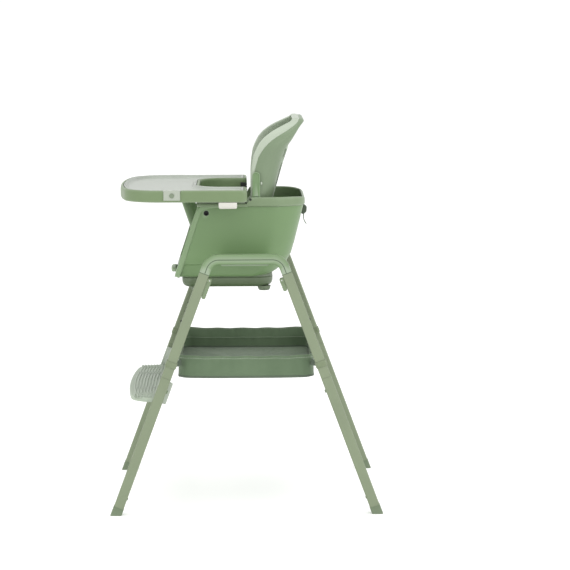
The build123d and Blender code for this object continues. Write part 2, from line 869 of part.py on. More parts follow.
def scoop_block(shrink):
    """A closed block behind and inside the scoop's shell, rounded at the back, arched on top."""
    curve = back_curve(shrink)
    base_line = back_lower - block_margin
    with BuildPart() as block:
        with BuildSketch(side_plane(-(back_half_width - shrink))):
            with BuildLine():
                Spline(*curve)
                Polyline(
                    curve[-1],
                    (-back_half_width, curve[-1][1]),
                    (-back_half_width, base_line),
                    (curve[0][0] - 2, base_line),
                    curve[0],
                )
            make_face()
        extrude(amount=2 * (back_half_width - shrink))
        fillet(block.edges().filter_by(GeomType.BSPLINE), radius=back_corner - shrink)
        extrude(arch(shrink), amount=2 * back_half_width, both=True, mode=Mode.INTERSECT)
    return block.part


def arch(shrink):
    """The front view of the backrest: straight sides and a rounded top."""
    with BuildSketch(Plane.XZ) as outline:
        with Locations((0, back_top - shrink - 2 * back_half_width)):
            Rectangle(2 * (back_half_width - shrink), 4 * back_half_width)
        fillet(outline.vertices().group_by(Axis.Z)[-1], radius=back_arch_radius - shrink)
    return outline.sketch


shell_inner_x = back_half_width - back_wall
latch_point = around_hinge(latch_reach, latch_angle)
slot_slope = atan2(back_profile[slot_high] - back_profile[slot_low], slot_high - slot_low)
slot_depth = back_profile[slot_low] + (shoulder_slot_z - slot_low) * tan(slot_slope)
slot_plane = Plane(
    origin=(0, slot_depth, shoulder_slot_z),
    x_dir=(1, 0, 0),
    z_dir=(0, cos(slot_slope), -sin(slot_slope)),
)
outside_block = scoop_block(0)
inside_block = scoop_block(back_wall)

with BuildPart() as backrest_shell:
    add(outside_block)
    add(inside_block, mode=Mode.SUBTRACT)

    # Front edges of the wings: straight up, then back over the top
    with BuildSketch(side_plane(-back_half_width)):
        with BuildLine():
            Spline((wing_front, wing_bend), *wing_curve)
            Polyline(
                wing_curve[-1],
                (wing_curve[-1][0], back_top + block_margin),
                (back_top / 4, back_top + block_margin),
                (back_top / 4, back_lower),
                (wing_front, back_lower),
                (wing_front, wing_bend),
            )
        make_face()
    extrude(amount=2 * back_half_width, mode=Mode.INTERSECT)

    # Guides on the back wall that hold the latch bar, each with a slot along its travel
    for way in SIDES.values():
        with BuildSketch(side_plane(way * guide_x)):
            with Locations((latch_point[0] - guide_shift, latch_point[1])):
                RectangleRounded(guide_depth, guide_height, guide_corner)
        extrude(amount=guide_thickness / 2, both=True)
    add(inside_block, mode=Mode.SUBTRACT)
    for step in range(latch_steps):
        reach = latch_travel * step / (latch_steps - 1)
        with BuildSketch(side_plane(-guide_x - guide_thickness)):
            with Locations(around_hinge(latch_reach + reach, latch_angle)):
                Circle(latch_bar_radius + latch_fit)
        extrude(amount=2 * (guide_x + guide_thickness), mode=Mode.SUBTRACT)

    # Slots for the shoulder straps
    with BuildSketch(slot_plane):
        with Locations((shoulder_x, 0), (-shoulder_x, 0)):
            Rectangle(strap_slot_width, strap_slot_height)
    extrude(amount=3 * back_wall, both=True, mode=Mode.SUBTRACT)
save(backrest_shell, "backrest_shell")

# Hinge ears: bearing plates welded to the front edges of the wings
with BuildPart() as hinge_ears:
    for way in SIDES.values():
        with BuildSketch(side_plane(way * shell_inner_x)):
            with BuildLine():
                Polyline(
                    (wing_front, back_lower),
                    (ear_front, back_lower),
                    (ear_front, hinge_z + ear_rise),
                    (wing_front, hinge_z + ear_top),
                    close=True,
                )
            make_face()
            with Locations((hinge_y, hinge_z)):
                Circle(hinge_radius + running_fit, mode=Mode.SUBTRACT)
        extrude(amount=way * back_wall)
save(hinge_ears, "hinge_ears")

# Hinge pins: a spigot in the bowl's boss, the bearing through the ear, a head inside
with BuildPart() as hinge_pins:
    head_face = shell_inner_x - hinge_head_gap
    for way in SIDES.values():
        stretches = {
            (boss_face, boss_face + bowl_wall / 2 - spigot_gap): hinge_stub_radius,
            (head_face, boss_face): hinge_radius,
            (head_face - hinge_head_thickness, head_face): hinge_head_radius,
        }
        for (start, stop), radius in stretches.items():
            with BuildSketch(side_plane(way * start)):
                with Locations((hinge_y, hinge_z)):
                    Circle(radius)
            extrude(amount=way * (stop - start))
save(hinge_pins, "hinge_pins")

# Tabs that stand on the rim outside the wings
with BuildPart() as rim_tabs:
    for way in SIDES.values():
        with BuildSketch(side_plane(way * (back_half_width + tab_gap))) as tab:
            with Locations((tab_y, (rim_height + tab_top) / 2)):
                Rectangle(tab_width, tab_top - rim_height)
            fillet(tab.vertices().group_by(Axis.Z)[-1], radius=tab_width / 2 - 1)
        extrude(amount=way * tab_thickness)
save(rim_tabs, "rim_tabs")

# ---- Recline latch ------------------------------------------------------------------

with BuildPart() as latch_bar:
    with BuildSketch(side_plane(-latch_bar_half_length)):
        with Locations(latch_point):
            Circle(latch_bar_radius)
    extrude(amount=2 * latch_bar_half_length)
save(latch_bar, "latch_bar")

with BuildPart() as latch_handle:
    with BuildSketch(side_plane(-handle_half_width)):
        with BuildLine():
            Polyline(
                (latch_point[0] - handle_foot, latch_point[1] - handle_foot),
                (latch_point[0] + handle_foot, latch_point[1] - handle_foot),
                (latch_point[0] + handle_top_rear[0], handle_top_rear[1]),
                (latch_point[0] + handle_top_front[0], handle_top_front[1]),
                close=True,
            )
        make_face()
        with Locations(latch_point):
            Circle(latch_bar_radius + running_fit, mode=Mode.SUBTRACT)
    extrude(amount=2 * handle_half_width)
    with BuildSketch(Plane.XZ):
        with Locations((0, handle_window_z)):
            RectangleRounded(
                2 * (handle_half_width - handle_frame), handle_window_height, handle_window_corner
            )
    extrude(amount=-frame_width / 2, mode=Mode.SUBTRACT)
save(latch_handle, "latch_handle")

with BuildPart() as recline_racks:
    rack_start, rack_middle, rack_end = (around_hinge(pivot_reach, angle) for angle in rack_angles)
    for way in SIDES.values():
        with BuildSketch(side_plane(way * rack_x - rack_thickness / 2)):
            with BuildLine():
                ThreePointArc(rack_start, rack_middle, rack_end)
                Polyline(
                    rack_end,
                    (rack_end[0], pan_height),
                    (rack_front, pan_height),
                    (rack_front, rack_start[1]),
                    rack_start,
                )
            make_face()
            for recline in (0, recline_middle, recline_full):
                for reach in (latch_travel / 2, latch_travel):
                    with Locations(around_hinge(latch_reach + reach, latch_angle - recline)):
                        Circle(latch_bar_radius + latch_fit, mode=Mode.SUBTRACT)
        extrude(amount=rack_thickness)
save(recline_racks, "recline_racks")

# ---- Harness ------------------------------------------------------------------------

# Shoulder straps lie on the front of the back wall, from the slots down
with BuildPart() as shoulder_straps:
    strap_line = back_curve(back_wall + shoulder_strap_gap)
    strap_back = [point for point in strap_line if shoulder_strap_end < point[1] <= slot_high]
    strap_front = [(depth - webbing_thickness, height) for depth, height in strap_back]
    for way in SIDES.values():
        with BuildSketch(side_plane(way * shoulder_x - webbing_width / 2)):
            with BuildLine():
                Spline(*strap_back)
                Line(strap_back[-1], strap_front[-1])
                Spline(*strap_front)
                Line(strap_front[0], strap_back[0])
            make_face()
        extrude(amount=webbing_width)
save(shoulder_straps, "shoulder_straps")

# Fittings: a retainer over each shoulder slot and a tongue on each strap's end
with BuildPart() as strap_fittings:
    with BuildSketch(slot_plane.offset(webbing_gap)):
        with Locations((shoulder_x, 0), (-shoulder_x, 0)):
            RectangleRounded(
                strap_slot_width + 2 * retainer_border, retainer_height, retainer_corner
            )
            Rectangle(retainer_slot_width, retainer_border, mode=Mode.SUBTRACT)
    extrude(amount=retainer_thickness)
    (low_depth, low_height), (high_depth, high_height) = back_curve(back_wall + tongue_gap)[0:2]
    tongue_top = high_height - tongue_set_down
    tongue_bottom = tongue_top - tongue_length
    tongue_low = between(low_height, high_height, low_depth, high_depth, tongue_bottom)
    tongue_high = between(low_height, high_height, low_depth, high_depth, tongue_top)
    for way in SIDES.values():
        with BuildSketch(side_plane(way * shoulder_x - webbing_width / 2)):
            with BuildLine():
                Polyline(
                    (tongue_low, tongue_bottom),
                    (tongue_high, tongue_top),
                    (tongue_high - tongue_thickness, tongue_top),
                    (tongue_low - tongue_thickness, tongue_bottom),
                    close=True,
                )
            make_face()
        extrude(amount=webbing_width)
save(strap_fittings, "strap_fittings")

# The crotch strap and the waist straps lie on the pan, with the buckle on the crotch strap's end
crotch_slot_y = post_foot_y + post_depth
crotch_strap_end = crotch_slot_y + crotch_strap_length - strap_slot_height / 2
with BuildPart() as seat_straps:
    with BuildSketch(Plane.XY.offset(pan_height + webbing_gap)):
        with Locations((0, crotch_strap_end - crotch_strap_length / 2)):
            Rectangle(webbing_width, crotch_strap_length)
    extrude(amount=webbing_thickness)
    wall_x = bowl_waist_half_width - bowl_wall - 2 * webbing_gap - webbing_thickness / 2
    pan_line = pan_height + webbing_gap + webbing_thickness / 2
    for way in SIDES.values():
        with BuildSketch(Plane.XZ.offset(-waist_slot_y - webbing_width / 2)):
            with BuildLine():
                FilletPolyline(
                    (way * wall_x, waist_slot_z),
                    (way * (wall_x - waist_strap_spread), pan_line),
                    (way * waist_strap_end, pan_line),
                    radius=waist_strap_bend,
                )
                offset(amount=webbing_thickness / 2)
            make_face()
        extrude(amount=webbing_width)
save(seat_straps, "seat_straps")

with BuildPart() as harness_buckle:
    with BuildSketch(Plane.XY.offset(pan_height + webbing_gap)):
        with Locations((0, crotch_strap_end + webbing_gap + buckle_size / 2)):
            RectangleRounded(buckle_size, buckle_size, buckle_size / 4)
    extrude(amount=buckle_height)
    fillet(harness_buckle.faces().sort_by(Axis.Z)[-1].edges(), radius=buckle_round)
save(harness_buckle, "harness_buckle")

# ---- Tray ---------------------------------------------------------------------------

rail_slot = rail_neck + 2 * rail_fit + 2
cover_front = rail_front - 30
cover_inner = belly_half_width + tray_wall + tube_fit
cover_outer = tray_half_width - tray_wall - tube_fit
cover_top = tray_bottom + cover_plate + 0.2
stem_bottom = cover_top + 0.3
stem_top = stem_bottom + 4.2
rail_head_outer = rail_x + rail_head / 2
lever_outer = tray_half_width - 4 - lever_travel
clip_hinge_x = tray_half_width - 4.5
clip_hinge_z = insert_top - clip_knuckle_radius - 0.4

with BuildPart() as tray_base:
    extrude(tray_section(tray_bottom), amount=tray_top - tray_bottom)
    extrude(tray_section(tray_floor_top, tray_rim), amount=tray_top - tray_floor_top, mode=Mode.SUBTRACT)
    extrude(
        tray_section(tray_bottom, tray_wall), amount=tray_floor_bottom - tray_bottom, mode=Mode.SUBTRACT
    )
    # The rails on the bowl pass through a port in the rear end of each arm
    for way in SIDES.values():
        with BuildSketch(Plane.XZ.offset(-tray_rear)):
            with Locations((way * rail_x, (tray_bottom + stem_top + 1) / 2)):
                Rectangle(rail_head + 4 * rail_fit, stem_top + 1 - tray_bottom)
        extrude(amount=tray_wall + 2, mode=Mode.SUBTRACT)
save(tray_base, "tray_base")

# Cover plates close the arms from below; each is cut by the rail's slot and the lever's notch
with BuildPart() as arm_covers:
    cover_outline = tray_section(tray_bottom + 0.2, tray_wall + tube_fit)
    extrude(cover_outline, amount=cover_plate)
    with BuildSketch(Plane.XY.offset(tray_bottom)):
        for way in SIDES.values():
            with Locations((way * (cover_inner + cover_outer) / 2, (cover_front + tray_rear) / 2)):
                Rectangle(cover_outer - cover_inner + 2, tray_rear - cover_front)
    extrude(amount=tray_top - tray_bottom, mode=Mode.INTERSECT)
    for way in SIDES.values():
        with BuildSketch(Plane.XY.offset(tray_bottom)):
            with Locations((way * rail_x, rail_front / 2)):
                Rectangle(rail_slot, tray_wall * 2 - rail_front + 10)
            with Locations((way * (lever_outer + lever_travel - 6), lever_y)):
                Rectangle(14 + 2 * lever_travel, lever_length - 2)
        extrude(amount=tray_top - tray_bottom, mode=Mode.SUBTRACT)
save(arm_covers, "arm_covers")

# Toothed racks on the inner side of the arms' rear ends
with BuildPart() as tray_racks:
    tooth_count = int((tray_top - 6 - tray_rack_bottom) // rack_tooth_pitch)
    for way in SIDES.values():
        with BuildSketch(side_plane(way * (belly_half_width - 0.3))):
            with Locations((tray_rear - 3 - tray_rack_depth / 2, (tray_rack_bottom + tray_top - 6) / 2)):
                Rectangle(tray_rack_depth, tray_top - 6 - tray_rack_bottom)
            for tooth in range(tooth_count):
                with BuildLine():
                    tooth_z = tray_rack_bottom + rack_tooth_pitch * tooth
                    Polyline(
                        (tray_rear - 3, tooth_z),
                        (tray_rear - 3 + rack_tooth_depth, tooth_z + rack_tooth_pitch / 2),
                        (tray_rear - 3, tooth_z + rack_tooth_pitch),
                        close=True,
                    )
                make_face()
        extrude(amount=-way * tray_rack_width)
save(tray_racks, "tray_racks")

# Rails on the low part of the bowl's rim: a neck and a wide head inside the tray's arms
with BuildPart() as tray_rails:
    for way in SIDES.values():
        with BuildSketch(Plane.XZ.offset(-rail_front)):
            with Locations((way * rail_x, (rim_low_height + stem_bottom) / 2)):
                Rectangle(rail_neck, stem_bottom - rim_low_height)
            with Locations((way * rail_x, (stem_bottom + stem_top) / 2)):
                Rectangle(rail_head, stem_top - stem_bottom)
            with Locations((way * rail_x, rim_low_height + 3)):
                Rectangle(rail_head + 2, 6)
        extrude(amount=rail_front)
save(tray_rails, "tray_rails")

# Release levers: a grip under the tray's edge, a neck through the cover and a tooth plate
for side, hand in SIDES.items():
    with BuildPart() as release_lever:
        with BuildSketch(Plane.XY.offset(lever_bottom)):
            with Locations((hand * (tray_half_width - lever_grip_depth / 2), lever_y)):
                RectangleRounded(lever_grip_depth, lever_length, 4)
        extrude(amount=tray_bottom - 0.5 - lever_bottom)
        fillet(release_lever.faces().sort_by(Axis.Z)[0].edges(), radius=3)
        neck_middle = lever_outer - 5
        with BuildSketch(Plane.XY.offset(tray_bottom - 0.6)):
            with Locations((hand * neck_middle, lever_y)):
                Rectangle(8, lever_length - 8)
        extrude(amount=stem_bottom - tray_bottom + 0.7)
        stem_inner = rail_head_outer + rail_fit
        with BuildSketch(Plane.XY.offset(stem_bottom)):
            with Locations((hand * (stem_inner + neck_middle + 4) / 2, lever_y)):
                Rectangle(neck_middle + 4 - stem_inner, lever_length - 8)
        extrude(amount=stem_top - stem_bottom)
    save(release_lever, f"release_lever_{side}")

# Translucent insert that drops over the tray, with a notch and pin holes for each clip
with BuildPart() as tray_insert:
    extrude(tray_section(tray_top + insert_fit, 2), amount=insert_top - tray_top - insert_fit)
    extrude(
        tray_section(tray_floor_top + insert_fit, tray_rim + 1), amount=tray_top - tray_floor_top + 0.1
    )
    extrude(
        tray_section(tray_floor_top + insert_fit + insert_wall, tray_rim + 1 + insert_wall),
        amount=insert_top - tray_floor_top,
        mode=Mode.SUBTRACT,
    )
    for way in SIDES.values():
        with BuildSketch(Plane.XY.offset(tray_top)):
            with Locations((way * (clip_hinge_x + 6), clip_y)):
                Rectangle(2 * (6 + clip_knuckle_radius + 0.4), clip_length + 1)
        extrude(amount=insert_top - tray_top, mode=Mode.SUBTRACT)
        with BuildSketch(Plane.XZ.offset(-(clip_y - clip_length / 2 - 4))):
            with Locations((way * clip_hinge_x, clip_hinge_z)):
                Circle(clip_pin_radius + running_fit)
        extrude(amount=-(clip_length + 8), mode=Mode.SUBTRACT)
save(tray_insert, "tray_insert")

with BuildPart() as clip_pins:
    for way in SIDES.values():
        with BuildSketch(Plane.XZ.offset(-(clip_y - clip_length / 2 - 3))):
            with Locations((way * clip_hinge_x, clip_hinge_z)):
                Circle(clip_pin_radius)
        extrude(amount=-(clip_length + 6))
save(clip_pins, "clip_pins")

# Clips: a knuckle on the pin, a short bridge over the tray's edge and a plate down its side
clip_plate_inner = tray_half_width + insert_fit
for side, hand in SIDES.items():
    with BuildPart() as insert_clip:
        with BuildSketch(Plane.XZ.offset(-(clip_y - clip_length / 2))):
            with Locations((hand * clip_hinge_x, clip_hinge_z)):
                Circle(clip_knuckle_radius)
            bridge_length = clip_plate_inner + clip_plate - clip_hinge_x
            bridge_middle = hand * (clip_hinge_x + bridge_length / 2)
            with Locations((bridge_middle, clip_hinge_z + clip_knuckle_radius / 2)):
                Rectangle(bridge_length, clip_knuckle_radius)
            plate_top = clip_hinge_z + clip_knuckle_radius
            with Locations((hand * (clip_plate_inner + clip_plate / 2), (clip_bottom + plate_top) / 2)):
                Rectangle(clip_plate, plate_top - clip_bottom)
            with Locations((hand * clip_hinge_x, clip_hinge_z)):
                Circle(clip_pin_radius + running_fit, mode=Mode.SUBTRACT)
        extrude(amount=-clip_length)
    save(insert_clip, f"insert_clip_{side}")

    with BuildPart() as clip_dot:
        with BuildSketch(side_plane(hand * (clip_plate_inner + clip_plate))):
            with Locations((clip_y, dot_z)):
                Circle(dot_radius)
        extrude(amount=hand * 1.2)
        fillet(clip_dot.faces().sort_by(Axis.X)[-1 if hand > 0 else 0].edges(), radius=0.5)
    save(clip_dot, f"clip_dot_{side}")

# ---- Footrest -----------------------------------------------------------------------

with BuildPart() as footrest_tread:
    for shrink, mode in {0.0: Mode.ADD, footrest_wall: Mode.SUBTRACT}.items():
        with BuildSketch(Plane.XY.offset(footrest_top - footrest_thickness)) as tread:
            with BuildLine():
                side_x = footrest_half_width - shrink
                ThreePointArc(
                    (-side_x, footrest_side_front + shrink),
                    (0, footrest_front + shrink),
                    (side_x, footrest_side_front + shrink),
                )
                Polyline(
                    (side_x, footrest_side_front + shrink),
                    (side_x, footrest_rear - shrink),
                    (-side_x, footrest_rear - shrink),
                    (-side_x, footrest_side_front + shrink),
                )
            make_face()
            fillet(tread.vertices().group_by(Axis.Y)[0], radius=footrest_corner - shrink)
        extrude(amount=footrest_thickness - shrink, mode=mode)
save(footrest_tread, "footrest_tread")

# Slide plates that run along the inner faces of the front legs
with BuildPart() as footrest_brackets:
    plate_thickness = leg_inner_face - bracket_fit - footrest_half_width - tread_gap
    for side, hand in SIDES.items():
        low, high = (leg_plane(side, "front", height) for height in (bracket_bottom, bracket_top))
        corners = [
            base.origin + base.y_dir * across
            for base, across in (
                (low, -leg_depth / 2),
                (high, -leg_depth / 2),
                (high, leg_depth / 2 + bracket_overhang),
                (low, leg_depth / 2 + bracket_overhang),
            )
        ]
        with BuildSketch(side_plane(hand * (footrest_half_width + tread_gap))) as plate:
            with BuildLine():
                Polyline(*[(corner.Y, corner.Z) for corner in corners], close=True)
            make_face()
            fillet(plate.vertices(), radius=bracket_corner)
        extrude(amount=hand * plate_thickness)
save(footrest_brackets, "footrest_brackets")

# ---- Basket -------------------------------------------------------------------------

with BuildPart() as basket:
    for shrink, mode in {0.0: Mode.ADD, basket_wall: Mode.SUBTRACT}.items():
        with BuildSketch(Plane.XY.offset(basket_bottom + shrink)):
            RectangleRounded(
                2 * (basket_half_width - shrink),
                2 * (basket_half_depth - shrink),
                basket_corner - shrink,
            )
        extrude(amount=basket_top - basket_bottom - shrink, mode=mode)
save(basket, "basket")

with BuildPart() as leg_loops:
    for side in SIDES:
        for end in ENDS:
            with BuildSketch(leg_plane(side, end, loop_height - loop_width / 2)):
                loop_inner = loop_fit + loop_thickness
                for grown, mode in {loop_inner: Mode.ADD, loop_fit: Mode.SUBTRACT}.items():
                    RectangleRounded(
                        leg_across + 2 * grown, leg_depth + 2 * grown, leg_corner + grown, mode=mode
                    )
            extrude(amount=loop_width)
save(leg_loops, "leg_loops")

# Straps from the loops to the basket's corners
with BuildPart() as basket_straps:
    loop_face = leg_inner_face - loop_fit - loop_thickness
    corner_step = basket_corner * (cos(radians(45)) - 1) + strap_standoff
    for side, hand in SIDES.items():
        for end, facing in ENDS.items():
            loop_x = hand * (loop_face - webbing_thickness / 2 - webbing_gap)
            loop_y = -facing * (leg_y(loop_height) - strap_set_in)
            basket_x = hand * (basket_half_width + corner_step)
            basket_y = -facing * (basket_half_depth + corner_step)
            with BuildSketch(Plane.XY.offset(loop_height - loop_width / 2)):
                with BuildLine():
                    strap_line = Line((loop_x, loop_y), (basket_x, basket_y))
                    offset(strap_line, amount=webbing_thickness / 2)
                make_face()
            extrude(amount=loop_width)
save(basket_straps, "basket_straps")
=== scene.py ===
from math import cos, pi, radians, sin, sqrt

import bmesh
import bpy
import numpy as np
from mathutils import Matrix, Vector


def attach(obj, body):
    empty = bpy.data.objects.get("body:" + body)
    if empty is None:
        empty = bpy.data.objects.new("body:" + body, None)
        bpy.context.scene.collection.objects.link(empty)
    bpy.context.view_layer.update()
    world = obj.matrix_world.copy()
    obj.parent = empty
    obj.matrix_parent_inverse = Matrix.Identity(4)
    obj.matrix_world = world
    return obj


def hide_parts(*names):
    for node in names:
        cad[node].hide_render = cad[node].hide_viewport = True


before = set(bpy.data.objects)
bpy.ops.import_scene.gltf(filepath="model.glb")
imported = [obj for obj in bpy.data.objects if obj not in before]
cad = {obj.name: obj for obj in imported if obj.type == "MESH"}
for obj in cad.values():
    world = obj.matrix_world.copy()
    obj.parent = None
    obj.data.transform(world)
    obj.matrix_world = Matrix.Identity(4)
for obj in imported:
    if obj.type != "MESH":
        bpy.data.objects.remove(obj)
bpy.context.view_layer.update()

scene = bpy.context.scene

# ---- Studio ------------------------------------------------------------------------
# A pale seamless floor under soft even light, seen from the chair's left side
# a little above the tray, through a long lens.

camera_data = bpy.data.cameras.new("camera")
camera_data.sensor_width = 36.0
camera_data.lens = 144.86
camera_data.clip_end = 60.0
camera = bpy.data.objects.new("camera", camera_data)
scene.collection.objects.link(camera)
camera_right = Vector((0.01832, 0.99983, -0.00341)).normalized()
camera_up = Vector((-0.12570, 0.00569, 0.99205)).normalized()
camera_back = camera_right.cross(camera_up)
camera_place = Vector((5.9156, -0.0034, 1.2929))
camera.matrix_world = Matrix.Translation(camera_place) @ Matrix(
    (camera_right, camera_up, camera_back)
).transposed().to_4x4()
scene.camera = camera
scene.view_settings.view_transform = "Standard"

world = bpy.data.worlds.new("studio")
scene.world = world
world.use_nodes = True
world.node_tree.nodes["Background"].inputs["Color"].default_value = (1.0, 1.0, 1.0, 1.0)
world.node_tree.nodes["Background"].inputs["Strength"].default_value = 1.04

for lamp_name, place, size, power in (
    ("overhead softbox", (0.6, -0.3, 3.4), 2.6, 22.0),
    ("front softbox", (2.6, -2.8, 1.9), 1.8, 14.0),
    ("camera softbox", (3.8, 1.4, 1.7), 1.8, 16.0),
    ("rear softbox", (1.6, 3.2, 1.7), 1.6, 14.0),
):
    lamp_data = bpy.data.lights.new(lamp_name, "AREA")
    lamp_data.shape = "SQUARE"
    lamp_data.size = size
    lamp_data.energy = power
    lamp = bpy.data.objects.new(lamp_name, lamp_data)
    scene.collection.objects.link(lamp)
    lamp.location = place
    aim = Vector((0.0, 0.0, 0.6)) - Vector(place)
    lamp.rotation_euler = aim.to_track_quat("-Z", "Y").to_euler()

floor_half = 14.0
floor_mesh = bpy.data.meshes.new("floor")
floor_mesh.from_pydata(
    [
        (-floor_half, -floor_half, 0), (floor_half, -floor_half, 0), (floor_half, floor_half, 0),
        (-floor_half, floor_half, 0)
    ],
    [],
    [(0, 1, 2, 3)],
)
floor = bpy.data.objects.new("floor", floor_mesh)
scene.collection.objects.link(floor)
floor_finish = bpy.data.materials.new("pale floor")
floor_finish.use_nodes = True
floor_shader = floor_finish.node_tree.nodes["Principled BSDF"]
floor_shader.inputs["Base Color"].default_value = (0.93, 0.93, 0.925, 1.0)
floor_shader.inputs["Emission Color"].default_value = (1.0, 1.0, 1.0, 1.0)
floor_shader.inputs["Emission Strength"].default_value = 0.2
floor_shader.inputs["Roughness"].default_value = 0.9
floor_shader.inputs["Specular IOR Level"].default_value = 0.1
floor_mesh.materials.append(floor_finish)

# ---- Leg frames --------------------------------------------------------------------
# Each side is one n of square tube, powder coated in pale sage: two straight legs of two
# lengths that join at a seam, and a bend over the top cased in moulded half covers.


def new_group(name, takes, gives):
    """An empty shader group with named inputs and outputs."""
    group = bpy.data.node_groups.new(name, "ShaderNodeTree")
    for title, kind, value in takes:
        socket = group.interface.new_socket(title, in_out="INPUT", socket_type=kind)
        socket.default_value = value
    for title, kind in gives:
        group.interface.new_socket(title, in_out="OUTPUT", socket_type=kind)
    start = group.nodes.new("NodeGroupInput")
    end = group.nodes.new("NodeGroupOutput")
    return group, start, end


def wire(tree, *links):
    """Join nodes; each link is a node, its output, the next node and its input."""
    for node, output, following, socket in links:
        tree.links.new(node.outputs[output], following.inputs[socket])


def scaled_noise(group, start, size_name, detail):
    """Noise over the object's own coordinates at a size taken from the group's input."""
    coordinates = group.nodes.new("ShaderNodeTexCoord")
    noise = group.nodes.new("ShaderNodeTexNoise")
    noise.inputs["Detail"].default_value = detail
    group.links.new(coordinates.outputs["Object"], noise.inputs["Vector"])
    group.links.new(start.outputs[size_name], noise.inputs["Scale"])
    return noise


def ranged(group, value, low, high, to_low, to_high):
    """A value moved from one range to another."""
    step = group.nodes.new("ShaderNodeMapRange")
    group.links.new(value, step.inputs["Value"])
    for title, number in (("From Min", low), ("From Max", high), ("To Min", to_low), ("To Max", to_high)):
        if hasattr(number, "links"):
            group.links.new(number, step.inputs[title])
        else:
            step.inputs[title].default_value = number
    return step.outputs["Result"]


skin, skin_start, skin_end = new_group(
    "moulded skin",
    (
        ("Colour", "NodeSocketColor", (0.3, 0.4, 0.25, 1.0)),
        ("Edge highlight colour", "NodeSocketColor", (0.5, 0.55, 0.45, 1.0)),
        ("Patch size", "NodeSocketFloat", 7.0),
        ("Grain size", "NodeSocketFloat", 900.0),
        ("Roughness", "NodeSocketFloat", 0.45),
        ("Edge highlight", "NodeSocketFloat", 0.4),
    ),
    (("Colour", "NodeSocketColor"), ("Roughness", "NodeSocketFloat"), ("Height", "NodeSocketFloat")),
)
patches = scaled_noise(skin, skin_start, "Patch size", 3.0)
grain = scaled_noise(skin, skin_start, "Grain size", 2.0)
shade = skin.nodes.new("ShaderNodeHueSaturation")
skin.links.new(skin_start.outputs["Colour"], shade.inputs["Color"])
skin.links.new(ranged(skin, patches.outputs["Fac"], 0.3, 0.7, 0.94, 1.06), shade.inputs["Value"])
# Convex edges, found by pointiness, are lightened towards a paler colour: a painted highlight.
edges = skin.nodes.new("ShaderNodeNewGeometry")
edge_highlight_mask = ranged(skin, edges.outputs["Pointiness"], 0.52, 0.6, 0.0, skin_start.outputs["Edge highlight"])
edge_lightening = skin.nodes.new("ShaderNodeMix")
edge_lightening.data_type = "RGBA"
skin.links.new(edge_highlight_mask, edge_lightening.inputs["Factor"])
wire(
    skin,
    (shade, "Color", edge_lightening, "A"),
    (skin_start, "Edge highlight colour", edge_lightening, "B"),
)
rubbed = skin.nodes.new("ShaderNodeMath")
rubbed.operation = "ADD"
skin.links.new(skin_start.outputs["Roughness"], rubbed.inputs[0])
skin.links.new(ranged(skin, patches.outputs["Fac"], 0.3, 0.7, -0.06, 0.06), rubbed.inputs[1])
wire(
    skin,
    (edge_lightening, "Result", skin_end, "Colour"),
    (rubbed, "Value", skin_end, "Roughness"),
    (grain, "Fac", skin_end, "Height"),
)


def moulded(
    name, colour, roughness=0.45, grain_size=900.0, grain_depth=0.12, patch_size=7.0, edge_highlight=0.4,
    metallic=0.0, **shader_values
):
    """A moulded or coated finish: patchy colour, fine grain and convex edges lightened as a painted
    highlight.
    """
    finish = bpy.data.materials.new(name)
    finish.use_nodes = True
    tree = finish.node_tree
    shader = tree.nodes["Principled BSDF"]
    coat = tree.nodes.new("ShaderNodeGroup")
    coat.node_tree = skin
    coat.inputs["Colour"].default_value = (*colour, 1.0)
    # The edge colour is the finish's colour moved towards pale grey, for the painted edge highlight.
    coat.inputs["Edge highlight colour"].default_value = (*[c + 0.45 * (0.8 - c) for c in colour], 1.0)
    coat.inputs["Patch size"].default_value = patch_size
    coat.inputs["Grain size"].default_value = grain_size
    coat.inputs["Roughness"].default_value = roughness
    coat.inputs["Edge highlight"].default_value = edge_highlight
    relief = tree.nodes.new("ShaderNodeBump")
    relief.inputs["Distance"].default_value = 0.0004
    relief.inputs["Strength"].default_value = grain_depth
    shader.inputs["Metallic"].default_value = metallic
    for title, value in shader_values.items():
        shader.inputs[title.replace("_", " ")].default_value = value
    wire(
        tree,
        (coat, "Colour", shader, "Base Color"),
        (coat, "Roughness", shader, "Roughness"),
        (coat, "Height", relief, "Height"),
        (relief, "Normal", shader, "Normal"),
    )
    return finish


def coat_nodes(finish, *names):
    """Give CAD nodes their finish."""
    for name in names:
        materials = cad[name].data.materials
        if len(materials) == 0:
            materials.append(finish)
        for index in range(len(materials)):
            materials[index] = finish


# The chair's two sides and two ends, each with the way it faces
sides = (("left", 1), ("right", -1))
ends = (("front", 1), ("rear", -1))

leg_finish = moulded(
    "pale sage powder coat", (0.184, 0.227, 0.135), roughness=0.5, grain_size=1400.0, edge_highlight=0.05
)
for end in ("front", "rear"):
    for side in ("left", "right"):
        coat_nodes(leg_finish, f"upper_leg_{end}_{side}", f"lower_leg_{end}_{side}")
cover_finish = moulded("moulded leg cover", (0.158, 0.242, 0.117), roughness=0.42)
coat_nodes(cover_finish, "bridge_covers_outer", "bridge_covers_inner")
